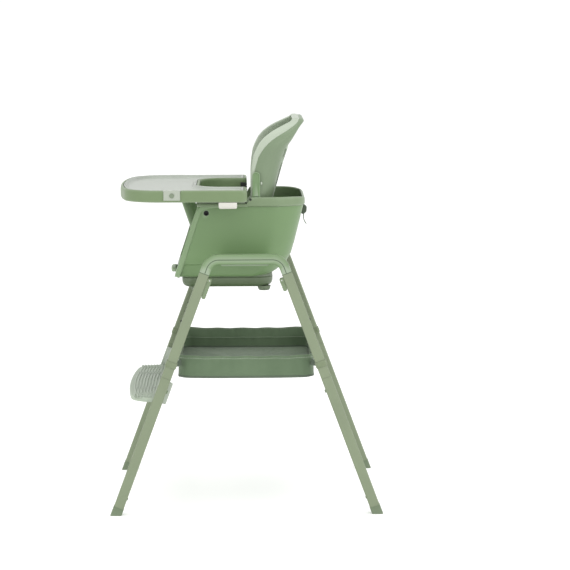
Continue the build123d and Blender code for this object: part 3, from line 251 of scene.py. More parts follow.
# The cores and joiners are near black so that the gaps in the covers show a dark line: painted shade in the
# gaps.
gap_shade_steel = moulded("dark steel painted gap shade", (0.03, 0.032, 0.03), roughness=0.5, metallic=0.6, edge_highlight=0.1)
coat_nodes(gap_shade_steel, "bridge_cores", "leg_joiners")
steel = moulded("bright steel", (0.55, 0.56, 0.56), roughness=0.32, metallic=1.0, edge_highlight=0.2)
coat_nodes(steel, "catch_pins", "seat_screws", "hinge_pins", "clip_pins", "latch_bar")
foot_finish = moulded("moulded foot cap", (0.135, 0.180, 0.105), roughness=0.5, edge_highlight=0.05)
coat_nodes(foot_finish, "foot_caps")
catch_finish = moulded("moulded catch", (0.158, 0.215, 0.115), roughness=0.45, edge_highlight=0.05)
for end in ("front", "rear"):
    for side in ("left", "right"):
        coat_nodes(catch_finish, f"leg_catch_{end}_{side}", f"snap_button_{end}_{side}")
coat_nodes(catch_finish, "catch_ears")

# ---- Seat bowl ---------------------------------------------------------------------
# One injection-moulded tub in mid sage, open at the front. A rim band runs round its brim,
# broad flanges stiffen its front edges, and the pan ends in a rolled lip.

body_finish = moulded(
    "mid sage moulding", (0.143, 0.236, 0.101), roughness=0.4, grain_depth=0.1, patch_size=4.0,
    Coat_Weight=0.08, Coat_Roughness=0.3
)
# The rim band is the tub's plastic made paler: painted light on its up-facing brim.
rim_lit_finish = moulded("sage rim painted light", (0.171, 0.237, 0.130), roughness=0.38, grain_depth=0.08)
# The flanges are the body plastic made paler with strong edge lightening: a painted highlight along each
# ridge.
flange_highlight_finish = moulded(
    "bowl flange painted highlight", (0.200, 0.295, 0.155), roughness=0.36, grain_depth=0.08, edge_highlight=0.9
)


def skin_over(name, rows, close_rows=False, close_points=False, cap_ends=False):
    """A mesh over rows of points; the rows or the points in each may close on themselves."""
    rows = [list(map(tuple, row)) for row in rows]
    count, width = len(rows), len(rows[0])
    faces = []
    for i in range(count if close_rows else count - 1):
        for j in range(width if close_points else width - 1):
            k, n = (i + 1) % count, (j + 1) % width
            faces.append((i * width + j, i * width + n, k * width + n, k * width + j))
    if cap_ends:
        faces.append(tuple(reversed(range(width))))
        faces.append(tuple(range((count - 1) * width, count * width)))
    mesh = bpy.data.meshes.new(name)
    mesh.from_pydata([point for row in rows for point in row], [], faces)
    return mesh


def clean(mesh, smooth_angle=40.0, merge=0.00005):
    """Merge doubled points, face every side outwards and shade it smooth between creases."""
    work = bmesh.new()
    work.from_mesh(mesh)
    bmesh.ops.remove_doubles(work, verts=work.verts, dist=merge)
    bmesh.ops.dissolve_degenerate(work, edges=work.edges, dist=merge / 2)
    bmesh.ops.recalc_face_normals(work, faces=work.faces)
    work.to_mesh(mesh)
    work.free()
    mesh.shade_smooth()
    mesh.set_sharp_from_angle(angle=radians(smooth_angle))
    mesh.update()
    return mesh


def capped(name, rows):
    """A finished closed solid over rings of points, with a cap on each end."""
    return clean(skin_over(name, rows, close_points=True, cap_ends=True))


def join_meshes(name, parts):
    """One mesh from several."""
    work = bmesh.new()
    for part in parts:
        work.from_mesh(part)
    mesh = bpy.data.meshes.new(name)
    work.to_mesh(mesh)
    work.free()
    return mesh


def put(name, mesh, finish, body, slot, *stands_for):
    """Set a finished mesh in place of its CAD nodes."""
    piece = bpy.data.objects.new(name, mesh)
    scene.collection.objects.link(piece)
    if finish is not None:
        mesh.materials.clear()
        mesh.materials.append(finish)
    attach(piece, body)
    if stands_for:
        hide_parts(*stands_for)
    return piece


side_count, arc_count, back_count = 26, 14, 18


def u_outline(half_width, front, rear, corner):
    """Plan view of a U that opens to the front, from its left end round to its right end."""
    left = [(half_width, y) for y in np.linspace(front, rear - corner, side_count)]
    turn = np.linspace(0, pi / 2, arc_count + 1)[1:]
    left += [(half_width - corner + corner * cos(a), rear - corner + corner * sin(a)) for a in turn]
    back_x = half_width - corner
    back = [(x, rear) for x in np.linspace(back_x, -back_x, back_count + 1)[1:-1]]
    right = [(-x, y) for x, y in reversed(left)]
    return np.array(left + back + right)


def bowl_plan(height):
    """Half width, front, rear and corner of the bowl's outside at a height, in millimetres."""
    half_width = np.interp(height, (583.0, 629.0, 762.7), (158.0, 165.0, 168.5))
    front = np.interp(height, (583.0, 629.0, 762.7), (-180.3, -165.0, -121.0))
    rear = np.interp(
        height, (583, 586, 590, 597, 606, 617, 630, 646, 762.7),
        (56, 65, 73, 83.5, 93.5, 103, 112, 119.5, 148.5)
    )
    corner = np.interp(height, (583.0, 629.0, 762.7), (50.0, 74.0, 74.0))
    return float(half_width), float(front), float(rear), float(corner)


rim_bottom, rim_top, rim_low_top, rim_step, step_softness = 762.7, 787.0, 771.0, 9.5, 1.1
back_dip, dip_from, dip_over = 8.5, 112.0, 41.0
# Profile of the wall from its bottom edge up the outside, over the rim and down to the pan
outside = [
    (583.5, -16.0), (583.6, -12.0), (585.5, -9.2), (589, -7.4), (597, -5.6), (606, -4.3), (613.5, -3.5),
    (615.6, -2.7), (616.6, -0.9)
]
outside += [
    (618.2, -0.1), (624, 0.0), (640, 0.0), (670, 0.0), (700, 0.0), (730, 0.0), (752, 0.0), (759.5, 0.0),
    (761.2, -0.5)
]
outside += [
    (762.6, -0.7), (763.4, 1.2), (764.3, 2.7), (766, 3.5), (769, 3.6), (776, 3.6), (782, 3.5), (785, 2.8),
    (786.6, 1.4)
]
outside += [
    (787, -0.4), (786.6, -2.2), (785, -3.6), (782, -4.0), (770, -4.0), (762, -4.0), (730, -4.0),
    (680, -4.0), (640, -4.0)
]
outside += [(624, -4.3), (614, -6.0), (608, -9.5), (605.4, -15), (605, -20)]

wall_rows = []
for height, outset in outside:
    half_width, front, rear, corner = bowl_plan(min(height, rim_bottom))
    plan = u_outline(half_width + outset, front, rear + outset, corner + outset)
    row = []
    for x, y in plan:
        blend_in = 1 / (1 + np.exp(-(y - rim_step) / step_softness))
        top_here = rim_low_top + (rim_top - rim_low_top) * blend_in
        z = height
        if height > rim_bottom:
            z = rim_bottom + (height - rim_bottom) * (top_here - rim_bottom) / (rim_top - rim_bottom)
            turn_down = min(1.0, max(0.0, (y - dip_from) / dip_over))
            dip = back_dip * (1 - sqrt(1 - 0.97 * turn_down**2))
            z -= dip * (height - rim_bottom) / (rim_top - rim_bottom)
        row.append((x / 1000, y / 1000, z / 1000))
    wall_rows.append(row)
strip_count = side_count + arc_count


def across(row):
    """Strips from side to side under one row of the wall, such as the pan."""
    strips = []
    width = len(row)
    for i in range(strip_count):
        a, b = np.array(row[i]), np.array(row[width - 1 - i])
        strips.append([tuple(a + (b - a) * t) for t in np.linspace(0, 1, back_count + 1)])
    return strips


bowl_parts = [
    skin_over("wall", wall_rows), skin_over("pan", across(wall_rows[-1])),
    skin_over("underside", across(wall_rows[0]))
]
front_loop = [row[0] for row in wall_rows] + across(wall_rows[-1])[0][1:-1] + [
    row[-1] for row in reversed(wall_rows)
]
front_loop += list(reversed(across(wall_rows[0])[0][1:-1]))
front_face = bpy.data.meshes.new("front")
front_face.from_pydata(front_loop, [], [tuple(range(len(front_loop)))])
bowl_mesh = clean(join_meshes("seat_bowl", bowl_parts + [front_face]))


def drilled(mesh, holes, name):
    """The mesh with round holes, each given as a place, an axis, a radius and a length."""
    body = bpy.data.objects.new(name, mesh)
    scene.collection.objects.link(body)
    for place, axis, radius, length in holes:
        drill = bmesh.new()
        bmesh.ops.create_cone(
            drill, cap_ends=True, segments=40, radius1=radius, radius2=radius, depth=length
        )
        turn = Vector((0, 0, 1)).rotation_difference(Vector(axis)).to_matrix().to_4x4()
        drill.transform(Matrix.Translation(Vector(place)) @ turn)
        drill_mesh = bpy.data.meshes.new("drill")
        drill.to_mesh(drill_mesh)
        drill.free()
        cutter = bpy.data.objects.new("drill", drill_mesh)
        scene.collection.objects.link(cutter)
        cut = body.modifiers.new("hole", "BOOLEAN")
        cut.operation = "DIFFERENCE"
        cut.object = cutter
        bpy.context.view_layer.update()
        result = bpy.data.meshes.new_from_object(body.evaluated_get(bpy.context.evaluated_depsgraph_get()))
        body.modifiers.clear()
        body.data = result
        bpy.data.objects.remove(cutter)
    bpy.data.objects.remove(body)
    return result


socket_y, socket_z, socket_radius = -0.098, 0.747, 0.00675
rim_hole_y, rim_hole_z = 13.5, 781.0
holes = []
for way in (1, -1):
    holes.append(((way * 0.166, socket_y, socket_z), (1, 0, 0), socket_radius, 0.024))
    holes.append(((way * 0.1735, rim_hole_y / 1000, rim_hole_z / 1000), (1, 0, 0), 0.0030, 0.006))
bowl_mesh = drilled(bowl_mesh, holes, "drilled bowl")
bowl_mesh.shade_smooth()
bowl_mesh.set_sharp_from_angle(angle=radians(40))
tub = put("tub", bowl_mesh, body_finish, "chair", "body_plastic", "seat_bowl")
# Faces above the rim's lower edge take the paler rim finish, painted light on the brim.
bowl_mesh.materials.append(rim_lit_finish)
lit_rim_from = 0.7628
for face in bowl_mesh.polygons:
    if face.center.z > lit_rim_from:
        face.material_index = 1


def band_along(name, line, outward, widths, thickness, roll, steps):
    """A band with a rounded edge swept along a line; outward is the way its face looks."""
    line = np.asarray(line, float)
    tangent = np.gradient(line, axis=0)
    tangent /= np.linalg.norm(tangent, axis=1)[:, None]
    outward = np.asarray(outward, float)
    outward = outward - (outward * tangent).sum(1)[:, None] * tangent
    outward /= np.linalg.norm(outward, axis=1)[:, None]
    sideways = np.cross(tangent, outward)
    angles = np.linspace(0, 2 * pi, steps, endpoint=False)
    rows = []
    for point, face, aside, width in zip(line, outward, sideways, np.broadcast_to(widths, len(line))):
        row = []
        for a in angles:
            across_part = np.sign(cos(a)) * abs(cos(a)) ** roll * width / 2
            face_part = np.sign(sin(a)) * abs(sin(a)) ** roll * thickness / 2
            row.append(point + aside * across_part + face * face_part)
        rows.append(row)
    return skin_over(name, rows, close_points=True, cap_ends=True)


def smooth_line(points, count):
    """A smooth line through points, evenly spaced along its length."""
    points = np.asarray(points, float)
    padded = np.vstack([2 * points[0] - points[1], points, 2 * points[-1] - points[-2]])
    fine = []
    for i in range(len(points) - 1):
        a, b, c, d = padded[i : i + 4]
        square, cube = 2 * a - 5 * b + 4 * c - d, 3 * b - a - 3 * c + d
        for t in np.linspace(0, 1, 24, endpoint=False):
            fine.append(0.5 * (2 * b + (c - a) * t + square * t**2 + cube * t**3))
    fine.append(points[-1])
    fine = np.array(fine)
    run = np.concatenate([[0], np.cumsum(np.linalg.norm(np.diff(fine, axis=0), axis=1))])
    places = np.linspace(0, run[-1], count)
    return np.stack([np.interp(places, run, fine[:, k]) for k in range(3)], axis=1)


flange_width, flange_thick, flange_count = 13.0, 6.4, 70
for side, hand in sides:
    stations = []
    for height in (584.5, 606.0, 629.0, 670.0, 710.0, 735.0):
        half_width, front, rear, corner = bowl_plan(height)
        stations.append((hand * (half_width - 1.0), front + flange_width / 2, height))
    bend = (
        (167.0, -118.5, 748.5), (167.2, -110.5, 757.6), (167.3, -97.0, 762.6), (167.3, -70.0, 764.4),
        (167.3, -20.0, 765.2)
    )
    stations += [(hand * x, y, z) for x, y, z in bend]
    flange_line = smooth_line(np.array(stations) / 1000, flange_count)
    flange_widths = np.interp(
        np.linspace(0, 1, flange_count), (0, 0.62, 0.78, 1), (0.013, 0.013, 0.0085, 0.006)
    )
    band = band_along(
        "flange", flange_line, [(hand, 0, 0)] * flange_count, flange_widths, flange_thick / 1000, 0.32, 28
    )
    put(f"tub_flange_{side}", clean(band), flange_highlight_finish, "chair", "body_plastic")

lip_line = [(x, -0.1825 - 0.003 * cos(x / 0.05 * pi / 2), 0.5895) for x in np.linspace(-0.048, 0.048, 31)]
lip_widths = [0.013 * max(0.4, 1 - abs(p[0] / 0.052) ** 6) for p in lip_line]
lip = band_along("lip", lip_line, [(0, -1, 0)] * 31, lip_widths, 0.013, 0.6, 24)
# The lip is paler than the body to offset the shade under the bowl's overhang: painted light.
lip_painted_light_finish = moulded("front lip painted light", (0.30, 0.40, 0.24), roughness=0.4)
put("tub_lip", clean(lip), lip_painted_light_finish, "chair", "body_plastic")

# ---- Base under the bowl -----------------------------------------------------------
# A shallow moulded tub screwed up under the pan, with a soft round pad under each corner
# so that the seat can stand on the floor or a chair without its legs.

# The base is painted darker than the body for the shade beneath the bowl.
base_shade_finish = moulded("base moulding painted shade", (0.074, 0.114, 0.049), roughness=0.42)
rubber = moulded(
    "soft foot rubber", (0.135, 0.175, 0.108), roughness=0.7, grain_size=500.0, grain_depth=0.3,
    edge_highlight=0.1
)


def rounded_outline(corners, spacing=3.0):
    """A closed outline through corners, each an x, a y and the radius that rounds it."""
    points = []
    count = len(corners)
    for i, (x, y, radius) in enumerate(corners):
        here = np.array((x, y), float)
        before = np.array(corners[i - 1][:2], float) - here
        after = np.array(corners[(i + 1) % count][:2], float) - here
        before_way, after_way = before / np.linalg.norm(before), after / np.linalg.norm(after)
        if radius < 0.01:
            points.append(here)
            continue
        half = np.arccos(np.clip(before_way @ after_way, -1, 1)) / 2
        tangent_length = radius / np.tan(half)
        start, stop = here + before_way * tangent_length, here + after_way * tangent_length
        middle = here + (
            before_way + after_way
        ) / np.linalg.norm(before_way + after_way) * radius / np.sin(half)
        first, last = start - middle, stop - middle
        sweep_angle = np.arctan2(first[0] * last[1] - first[1] * last[0], first @ last)
        for t in np.linspace(0, 1, max(4, int(abs(sweep_angle) * radius / spacing) + 2)):
            a = sweep_angle * t
            turned_x = first[0] * cos(a) - first[1] * sin(a)
            turned_y = first[0] * sin(a) + first[1] * cos(a)
            points.append(middle + np.array((turned_x, turned_y)))
    points = np.array(points)
    closed = np.vstack([points, points[:1]])
    run = np.concatenate([[0], np.cumsum(np.linalg.norm(np.diff(closed, axis=0), axis=1))])
    places = np.linspace(0, run[-1], int(run[-1] / spacing), endpoint=False)
    return np.stack([np.interp(places, run, closed[:, k]) for k in (0, 1)], axis=1)


def inset_by(outline, amount):
    """The outline moved inwards by an amount."""
    tangent = np.roll(outline, -1, axis=0) - np.roll(outline, 1, axis=0)
    tangent /= np.linalg.norm(tangent, axis=1)[:, None]
    area = 0.5 * np.sum(
        outline[:, 0] * np.roll(outline[:, 1], -1) - outline[:, 1] * np.roll(outline[:, 0], -1)
    )
    inward = np.stack([-tangent[:, 1], tangent[:, 0]], axis=1) * np.sign(area)
    return outline + inward * amount


def turned_from(name, outline, profile, smooth_angle=35.0):
    """A solid whose walls follow an outline; the profile lists inset and height, cap to cap."""
    rows = []
    for inset, height in profile:
        loop = inset_by(outline, inset)
        rows.append([(x / 1000, y / 1000, height / 1000) for x, y in loop])
    return clean(skin_over(name, rows, close_points=True, cap_ends=True), smooth_angle)


base_outline = rounded_outline([(146, -161, 23), (146, 69, 45), (-146, 69, 45), (-146, -161, 23)])
base_profile = [
    (24, 556), (16, 556.4), (10, 557.8), (5.5, 560.4), (2.4, 564), (0.7, 568.5), (0, 574), (0, 580),
    (1.6, 580.6), (1.8, 582.4), (0.2, 583), (0.6, 586), (2.5, 589)
]
put(
    "base", turned_from("base", base_outline, base_profile), base_shade_finish, "chair", "body_plastic",
    "seat_base"
)

for row, pad_y in (("front", -123.0), ("rear", 47.0)):
    for side, hand in sides:
        pad_x = hand * 120
        pad_corners = [
            (pad_x + dx, pad_y + dy, 16.9) for dx, dy in ((17, -17), (17, 17), (-17, 17), (-17, -17))
        ]
        foot_outline = rounded_outline(pad_corners, 2.0)
        foot_profile = [
            (12.5, 549.2), (12.2, 546.6), (9, 546.0), (5, 546.3), (3.2, 547.6), (2.0, 550), (0.8, 554),
            (0, 557.5)
        ]
        pad = put(
            f"base_pad_{row}_{side}", turned_from("pad", foot_outline, foot_profile), rubber, "chair",
            "foot_rubber"
        )
        if row == "front" and side == "left":
            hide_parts("base_feet")

coat_nodes(body_finish, "cradle_arms")

# ---- Crotch post -------------------------------------------------------------------
# A hollow post moulded in the body colour leans forward between the child's legs.

post_profile = [
    (605, 4), (607, 1.5), (612, 0), (660, -0.6), (710, -0.6), (755, 0), (768, 0), (774, -1.2), (777, -3.6),
    (778, -8)
]
post_rows = []
for height, swell in post_profile:
    t = (height - 605) / 173
    middle_y = -95 + (-152 + 95) * t
    half_x, half_y = 30 + (22 - 30) * t + swell, 17.5 + swell
    post_rows.append([])
    for a in np.linspace(0, 2 * pi, 64, endpoint=False):
        x = half_x * np.sign(cos(a)) * abs(cos(a)) ** 0.62
        y = middle_y + half_y * np.sign(sin(a)) * abs(sin(a)) ** 0.62
        post_rows[-1].append((x / 1000, y / 1000, height / 1000))
put("crotch_post_shell", capped("post", post_rows), body_finish, "chair", "body_plastic", "crotch_post")

# ---- Backrest ----------------------------------------------------------------------
# A scoop in pale sage, moulded in one with its wings, hinged low on the bowl's sides. Its
# front edge is rolled outwards, narrow on the wings and broad over the top.

back_finish = moulded(
    "pale sage backrest", (0.172, 0.232, 0.140), roughness=0.4, grain_depth=0.08, patch_size=5.0
)
# The rolled rim is far paler than the backrest plastic: a painted highlight where the rolled edge catches
# the light.
back_rim_highlight_finish = moulded("rolled backrest rim painted highlight", (0.385, 0.440, 0.350), roughness=0.4, grain_depth=0.05)
# The scoop's inner face is a far paler copy of the backrest plastic, lightened against the shade inside the
# scoop: painted light.
back_inner_lit_finish = moulded(
    "backrest inner face painted light", (0.400, 0.470, 0.365), roughness=0.42, grain_depth=0.08, patch_size=5.0
)
back_foot, back_top, back_half_width, arch_radius = 648.0, 981.0, 160.0, 70.0
# The corner between wing and back panel is broad low down and narrows towards the top
back_radius, top_radius, narrows_from, narrows_over = 44.0, 7.0, 880.0, 90.0
wing_count, turn_count, panel_count = 10, 11, 23
spine = smooth_line(
    [
        (0, y, z) for y,
        z in ((33, 648), (53, 726), (74.3, 804), (92.9, 873), (109.1, 919), (134.8, 961.6), (153, 984.5))
    ],
    200
)


def arch_line(inset, side_steps=46, arc_steps=18, top_steps=20):
    """Front view of the backrest's edge, from its left foot over the top to its right foot."""
    half, radius, top = back_half_width - inset, arch_radius - inset, back_top - inset
    left = [(half, z) for z in np.linspace(back_foot, top - radius, side_steps)]
    left += [
        (half - radius + radius * cos(a), top - radius + radius * sin(a))
        for a in np.linspace(0, pi / 2, arc_steps + 1)[1:]
    ]
    middle = [(x, top) for x in np.linspace(half - radius, radius - half, top_steps + 1)[1:-1]]
    return np.array(left + middle + [(-x, z) for x, z in reversed(left)])


def wing_edge(z):
    """How far forward the wing reaches at a height."""
    heights = (648, 738, 742, 762, 766, 838, 863, 888, 903, 917, 929, 939, 949, 957, 966, 973, 981)
    fronts = (-15, -15, -13, 14, 16, 16, 18, 22, 28.5, 36, 46, 58, 73, 88, 104, 116, 122)
    return float(np.interp(z, heights, fronts))


arch_points = arch_line(0.0)
back_rows = [[] for _ in range(wing_count + turn_count + panel_count)]
for index, (edge_x, edge_z) in enumerate(arch_points):
    rise = min(1.0, max(0.0, (edge_z - narrows_from) / narrows_over))
    radius = back_radius + (top_radius - back_radius) * rise * rise * (3 - 2 * rise)
    back_y = float(np.interp(edge_z, spine[:, 2], spine[:, 1]))
    front_y = wing_edge(edge_z)
    straight = max(0.0, back_y - radius - front_y)
    first_angle = 0.0 if straight > 0 else np.arcsin(min(1.0, (front_y - back_y + radius) / radius))
    inner_x, inner_z = arch_line(radius)[index]
    unit_x, unit_z = (inner_x - edge_x) / radius, (inner_z - edge_z) / radius
    if straight > 0:
        profile_points = [(0.0, y) for y in np.linspace(front_y, back_y - radius, wing_count)]
    else:
        profile_points = [(radius * (1 - cos(first_angle)), front_y)] * wing_count
    for a in np.linspace(first_angle, pi / 2, turn_count + 1)[1:]:
        profile_points.append((radius * (1 - cos(a)), back_y - radius + radius * sin(a)))
    for row, (inset, y) in enumerate(profile_points):
        back_rows[row].append((edge_x + unit_x * inset, y, edge_z + unit_z * inset))
    for row, t in enumerate(np.linspace(1, 0, panel_count + 1)[1:]):
        x, z = inner_x * t, back_foot + (inner_z - back_foot) * t
        back_rows[wing_count + turn_count + row].append(
            (x, float(np.interp(z, spine[:, 2], spine[:, 1])), z)
        )
back_rows = [[tuple(v / 1000 for v in point) for point in row] for row in back_rows]
back_mesh = clean(skin_over("backrest", back_rows), 50)
backrest = put("scoop", back_mesh, back_finish, "backrest", "body_plastic", "backrest_shell", "hinge_ears")
wall = backrest.modifiers.new("wall", "SOLIDIFY")
wall.thickness = 0.004
wall.offset = -1.0
wall.use_even_offset = False
# The inner face of the wall takes the paler painted-light finish.
wall.material_offset = 1
back_mesh.materials.append(back_inner_lit_finish)

rim_bottom_height = 764
rim_line, rim_out, rim_widths = [], [], []
for i, (x, z) in enumerate(arch_points):
    if z <= rim_bottom_height:
        continue
    inner_x, inner_z = arch_line(20.0)[i]
    out = np.array((x - inner_x, 0.0, z - inner_z)) / 20
    width = float(np.interp(z, (764, 800, 850, 890, 925, 960, 981), (5, 6, 9, 14, 19, 21, 18)))
    place = np.array((x, wing_edge(z) + width / 2 - 1.5, z)) - out * 1.6
    rim_line.append(place / 1000)
    rim_out.append(out)
    rim_widths.append(width / 1000)
rim = band_along("rim", rim_line, rim_out, rim_widths, 0.0074, 0.75, 24)
put("scoop_rim", clean(rim), back_rim_highlight_finish, "backrest", "body_plastic")

dark_plastic = moulded("dark slate plastic and painted hole shade", (0.012, 0.014, 0.013), roughness=0.5, edge_highlight=0.0)
# The near-black side sockets also stand for the shade inside the bowl's socket holes: partly the parts' own
# dark plastic, partly painted shade.
coat_nodes(dark_plastic, "side_sockets", "tray_racks", "strap_fittings", "recline_racks")
coat_nodes(back_finish, "latch_handle")

# ---- Tabs beside the wings ---------------------------------------------------------
# Two upright tabs moulded on the bowl's rim guide the wings; each has a small peg painted pale as a
# highlight.


def round_ring(x, y, z, radius, count, stretch=1.0):
    """A ring of points about an axis along X, in metres, from sizes in millimetres."""
    turns = np.linspace(0, 2 * pi, count, endpoint=False)
    return [(x / 1000, (y + radius * cos(a)) / 1000, (z + stretch * radius * sin(a)) / 1000) for a in turns]


tab_finish = moulded("pale sage tab", (0.146, 0.234, 0.108), roughness=0.38)
tab_profile = [
    (2.6, 162.6), (1.0, 162.9), (0, 164.0), (0, 169.0), (0.6, 170.2), (1.6, 170.6), (2.6, 170.6),
    (3.4, 169.9), (4.6, 169.9)
]
peg_profile = [(161.5, 2.2), (171.5, 2.2), (172.3, 1.9), (172.6, 1.2)]
peg_y, peg_z = 41.0, 822.0
for side, hand in sides:
    tab_outline = rounded_outline([(18, 785, 1), (38, 785, 1), (38, 850, 9), (18, 850, 9)], 1.2)
    tab_rows = []
    for inset, x in tab_profile:
        tab_rows.append([(hand * x / 1000, y / 1000, z / 1000) for y, z in inset_by(tab_outline, inset)])
    tab = put(f"tab_{side}", capped("tab", tab_rows), tab_finish, "chair", "body_plastic")
    if side == "left":
        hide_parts("rim_tabs")
    peg_rows = [round_ring(hand * x, peg_y, peg_z, radius, 24, 1.5) for x, radius in peg_profile]
    put(f"tab_peg_{side}", capped("peg", peg_rows), back_rim_highlight_finish, "chair", "body_plastic")

# ---- Tray --------------------------------------------------------------------------
# A deep-edged moulded tray slides on the bowl's rails; a translucent pale insert drops over
# it and clips on each side, and a cream lever under each arm lets it go.

tray_finish = moulded("sage tray", (0.148, 0.212, 0.101), roughness=0.4, grain_depth=0.1)
tray_outline = rounded_outline(
    [
        (254, 5, 12), (254, -290, 95), (130, -312.3, 0), (65, -318.1, 0), (0, -320, 0), (-65, -318.1, 0),
        (-130, -312.3, 0)
    ]
    + [(-254, -290, 95), (-254, 5, 12), (-140, 5, 12), (-140, -116, 65), (140, -116, 65), (140, 5, 12)]
)
tray_profile = [
    (4.2, 796.5), (3.9, 784), (3.2, 782.2), (2.4, 781.8), (1.2, 782.5), (0.35, 784.5), (0, 788), (0, 797)
]
tray_profile += [
    (0.1, 803), (0.5, 806.5), (1.4, 809.4), (2.9, 811.1), (4.8, 811.6), (6.6, 811.2), (7.5, 809.8),
    (7.8, 806), (8.6, 803.5), (9.8, 801.2), (10.8, 800)
]
# The rim dips where each clip of the insert folds over it
clip_middle, clip_half, clip_from_x, rim_dip_top, tray_top = -181.6, 21.6, 230, 806.0, 812.0
tray_rows = []
for inset, height in tray_profile:
    tray_rows.append([])
    for x, y in inset_by(tray_outline, inset):
        under_clip = abs(y - clip_middle) < clip_half and abs(x) > clip_from_x
        top_here = rim_dip_top if under_clip else tray_top
        tray_rows[-1].append((x / 1000, y / 1000, min(height, top_here) / 1000))
tray_mesh = clean(skin_over("tray", tray_rows, close_points=True, cap_ends=True), 35, merge=0.00002)
put("tray_dish", tray_mesh, tray_finish, "tray", "body_plastic", "tray_base")
coat_nodes(tray_finish, "arm_covers", "tray_rails")

insert_finish = moulded(
    "translucent insert", (0.45, 0.485, 0.43), roughness=0.32, grain_depth=0.05, edge_highlight=0.2
)
insert_finish.node_tree.nodes["Principled BSDF"].inputs["Alpha"].default_value = 0.82
insert_edge = [
    (11.9, 802.0), (11.0, 805.0), (10.2, 807.4), (9.0, 808.6), (8.6, 809.8), (8.8, 811.2), (9.8, 812.0),
    (11.2, 812.0), (11.8, 811.3)
]
edge_rows = [
    [(x / 1000, y / 1000, z / 1000) for x, y in inset_by(tray_outline, inset)] for inset, z in insert_edge
]
edge_mesh = clean(skin_over("insert edge", edge_rows, close_rows=True, close_points=True))
dish_outline = rounded_outline(
    [
        (242.4, -6.6, 12), (242.4, -278.6, 84), (124, -300.6, 0), (62, -306.3, 0), (0, -308.2, 0),
        (-62, -306.3, 0), (-124, -300.6, 0)
    ]
    + [
        (-242.4, -278.6, 84), (-242.4, -6.6, 12), (-151.6, -6.6, 12), (-151.6, -127.6, 76.6),
        (151.6, -127.6, 76.6), (151.6, -6.6, 12)
    ]
)
dish_profile = [
    (1.6, 801.6), (0.3, 802.4), (0, 804), (0, 809.8), (0.6, 811.0), (1.7, 811.3), (2.6, 810.4),
    (3.4, 808.2), (4.6, 806.2), (6.2, 804.7)
]
dish_profile += [(7.6, 804.3), (8.2, 805.1), (9.2, 805.1), (9.8, 804.2), (10.8, 803.8)]
dish_mesh = turned_from("dish", dish_outline, dish_profile)
put(
    "dish_insert", join_meshes("insert", [edge_mesh, dish_mesh]), insert_finish, "insert", "insert_plastic",
    "tray_insert"
)

clip_finish = moulded("clear clip", (0.33, 0.365, 0.30), roughness=0.25, edge_highlight=0.1)
dot_finish = moulded("grey green dot", (0.17, 0.21, 0.145), roughness=0.5, edge_highlight=0.05)
lever_finish = moulded("cream lever", (0.56, 0.55, 0.50), roughness=0.4)
for side, hand in sides:
    coat_nodes(clip_finish, f"insert_clip_{side}")
    coat_nodes(dot_finish, f"clip_dot_{side}")
    lever_outline = rounded_outline(
        [(hand * 254, -66, 4), (hand * 254, -20, 4), (hand * 237, -20, 4), (hand * 237, -66, 4)], 1.5
    )
    lever_profile = [
        (5.2, 765.0), (3.4, 765.3), (1.6, 766.4), (0.4, 768.4), (0, 771), (0, 779), (0.5, 780.8),
        (1.4, 781.3)
    ]
    put(
        f"lever_grip_{side}", turned_from("lever", lever_outline, lever_profile), lever_finish,
        f"lever_{side}", "lever_plastic", f"release_lever_{side}"
    )

# ---- Footrest ----------------------------------------------------------------------
# A moulded tread with a smooth rounded border; raised ribs run across it parallel to its
# front edge for grip. Two slide plates carry it on the front legs.

tread_finish = moulded("pale footrest", (0.345, 0.405, 0.318), roughness=0.48, grain_depth=0.15)
tread_outline = rounded_outline(
    [
        (262, -212, 5), (262, -286, 62), (150, -296.8, 0), (75, -300.7, 0), (0, -302, 0), (-75, -300.7, 0),
        (-150, -296.8, 0), (-262, -286, 62), (-262, -212, 5)
    ]
)
tread_profile = [
    (5.0, 284.5), (4.6, 282.6), (3.6, 282), (1.6, 282.6), (0.4, 284.4), (0, 287), (0.3, 290), (1.3, 292.4),
    (3.0, 293.4), (4.9, 293.6)
]
put(
    "tread", turned_from("tread", tread_outline, tread_profile), tread_finish, "footrest",
    "footrest_plastic", "footrest_tread"
)
coat_nodes(tread_finish, "footrest_brackets")


def new_tree(name, takes):
    """An empty geometry tree that takes a mesh and named sizes."""
    tree = bpy.data.node_groups.new(name, "GeometryNodeTree")
    tree.interface.new_socket("Geometry", in_out="INPUT", socket_type="NodeSocketGeometry")
    for title, kind, value in takes:
        socket = tree.interface.new_socket(title, in_out="INPUT", socket_type=kind)
        if value is not None:
            socket.default_value = value
    tree.interface.new_socket("Geometry", in_out="OUTPUT", socket_type="NodeSocketGeometry")
    return tree, tree.nodes.new("NodeGroupInput"), tree.nodes.new("NodeGroupOutput")


def grown(name, mesh, tree, sizes):
    """The plain mesh that a geometry tree makes from a mesh, with its named inputs set."""
    seed = bpy.data.objects.new(name, mesh)
    scene.collection.objects.link(seed)
    modifier = seed.modifiers.new(name, "NODES")
    modifier.node_group = tree
    for item in tree.interface.items_tree:
        if item.item_type == "SOCKET" and item.in_out == "INPUT" and item.name in sizes:
            modifier[item.identifier] = sizes[item.name]
    bpy.context.view_layer.update()
    result = bpy.data.meshes.new_from_object(seed.evaluated_get(bpy.context.evaluated_depsgraph_get()))
    seed.modifiers.clear()
    bpy.data.objects.remove(seed)
    return result


def line_mesh(name, lines, closed=False):
    """A mesh of bare edges along lines of points."""
    points, links = [], []
    for line in lines:
        first = len(points)
        points += [tuple(p) for p in line]
        links += [(first + k, first + k + 1) for k in range(len(line) - 1)]
        if closed:
            links.append((len(points) - 1, first))
    mesh = bpy.data.meshes.new(name)
    mesh.from_pydata(points, links, [])
    return mesh


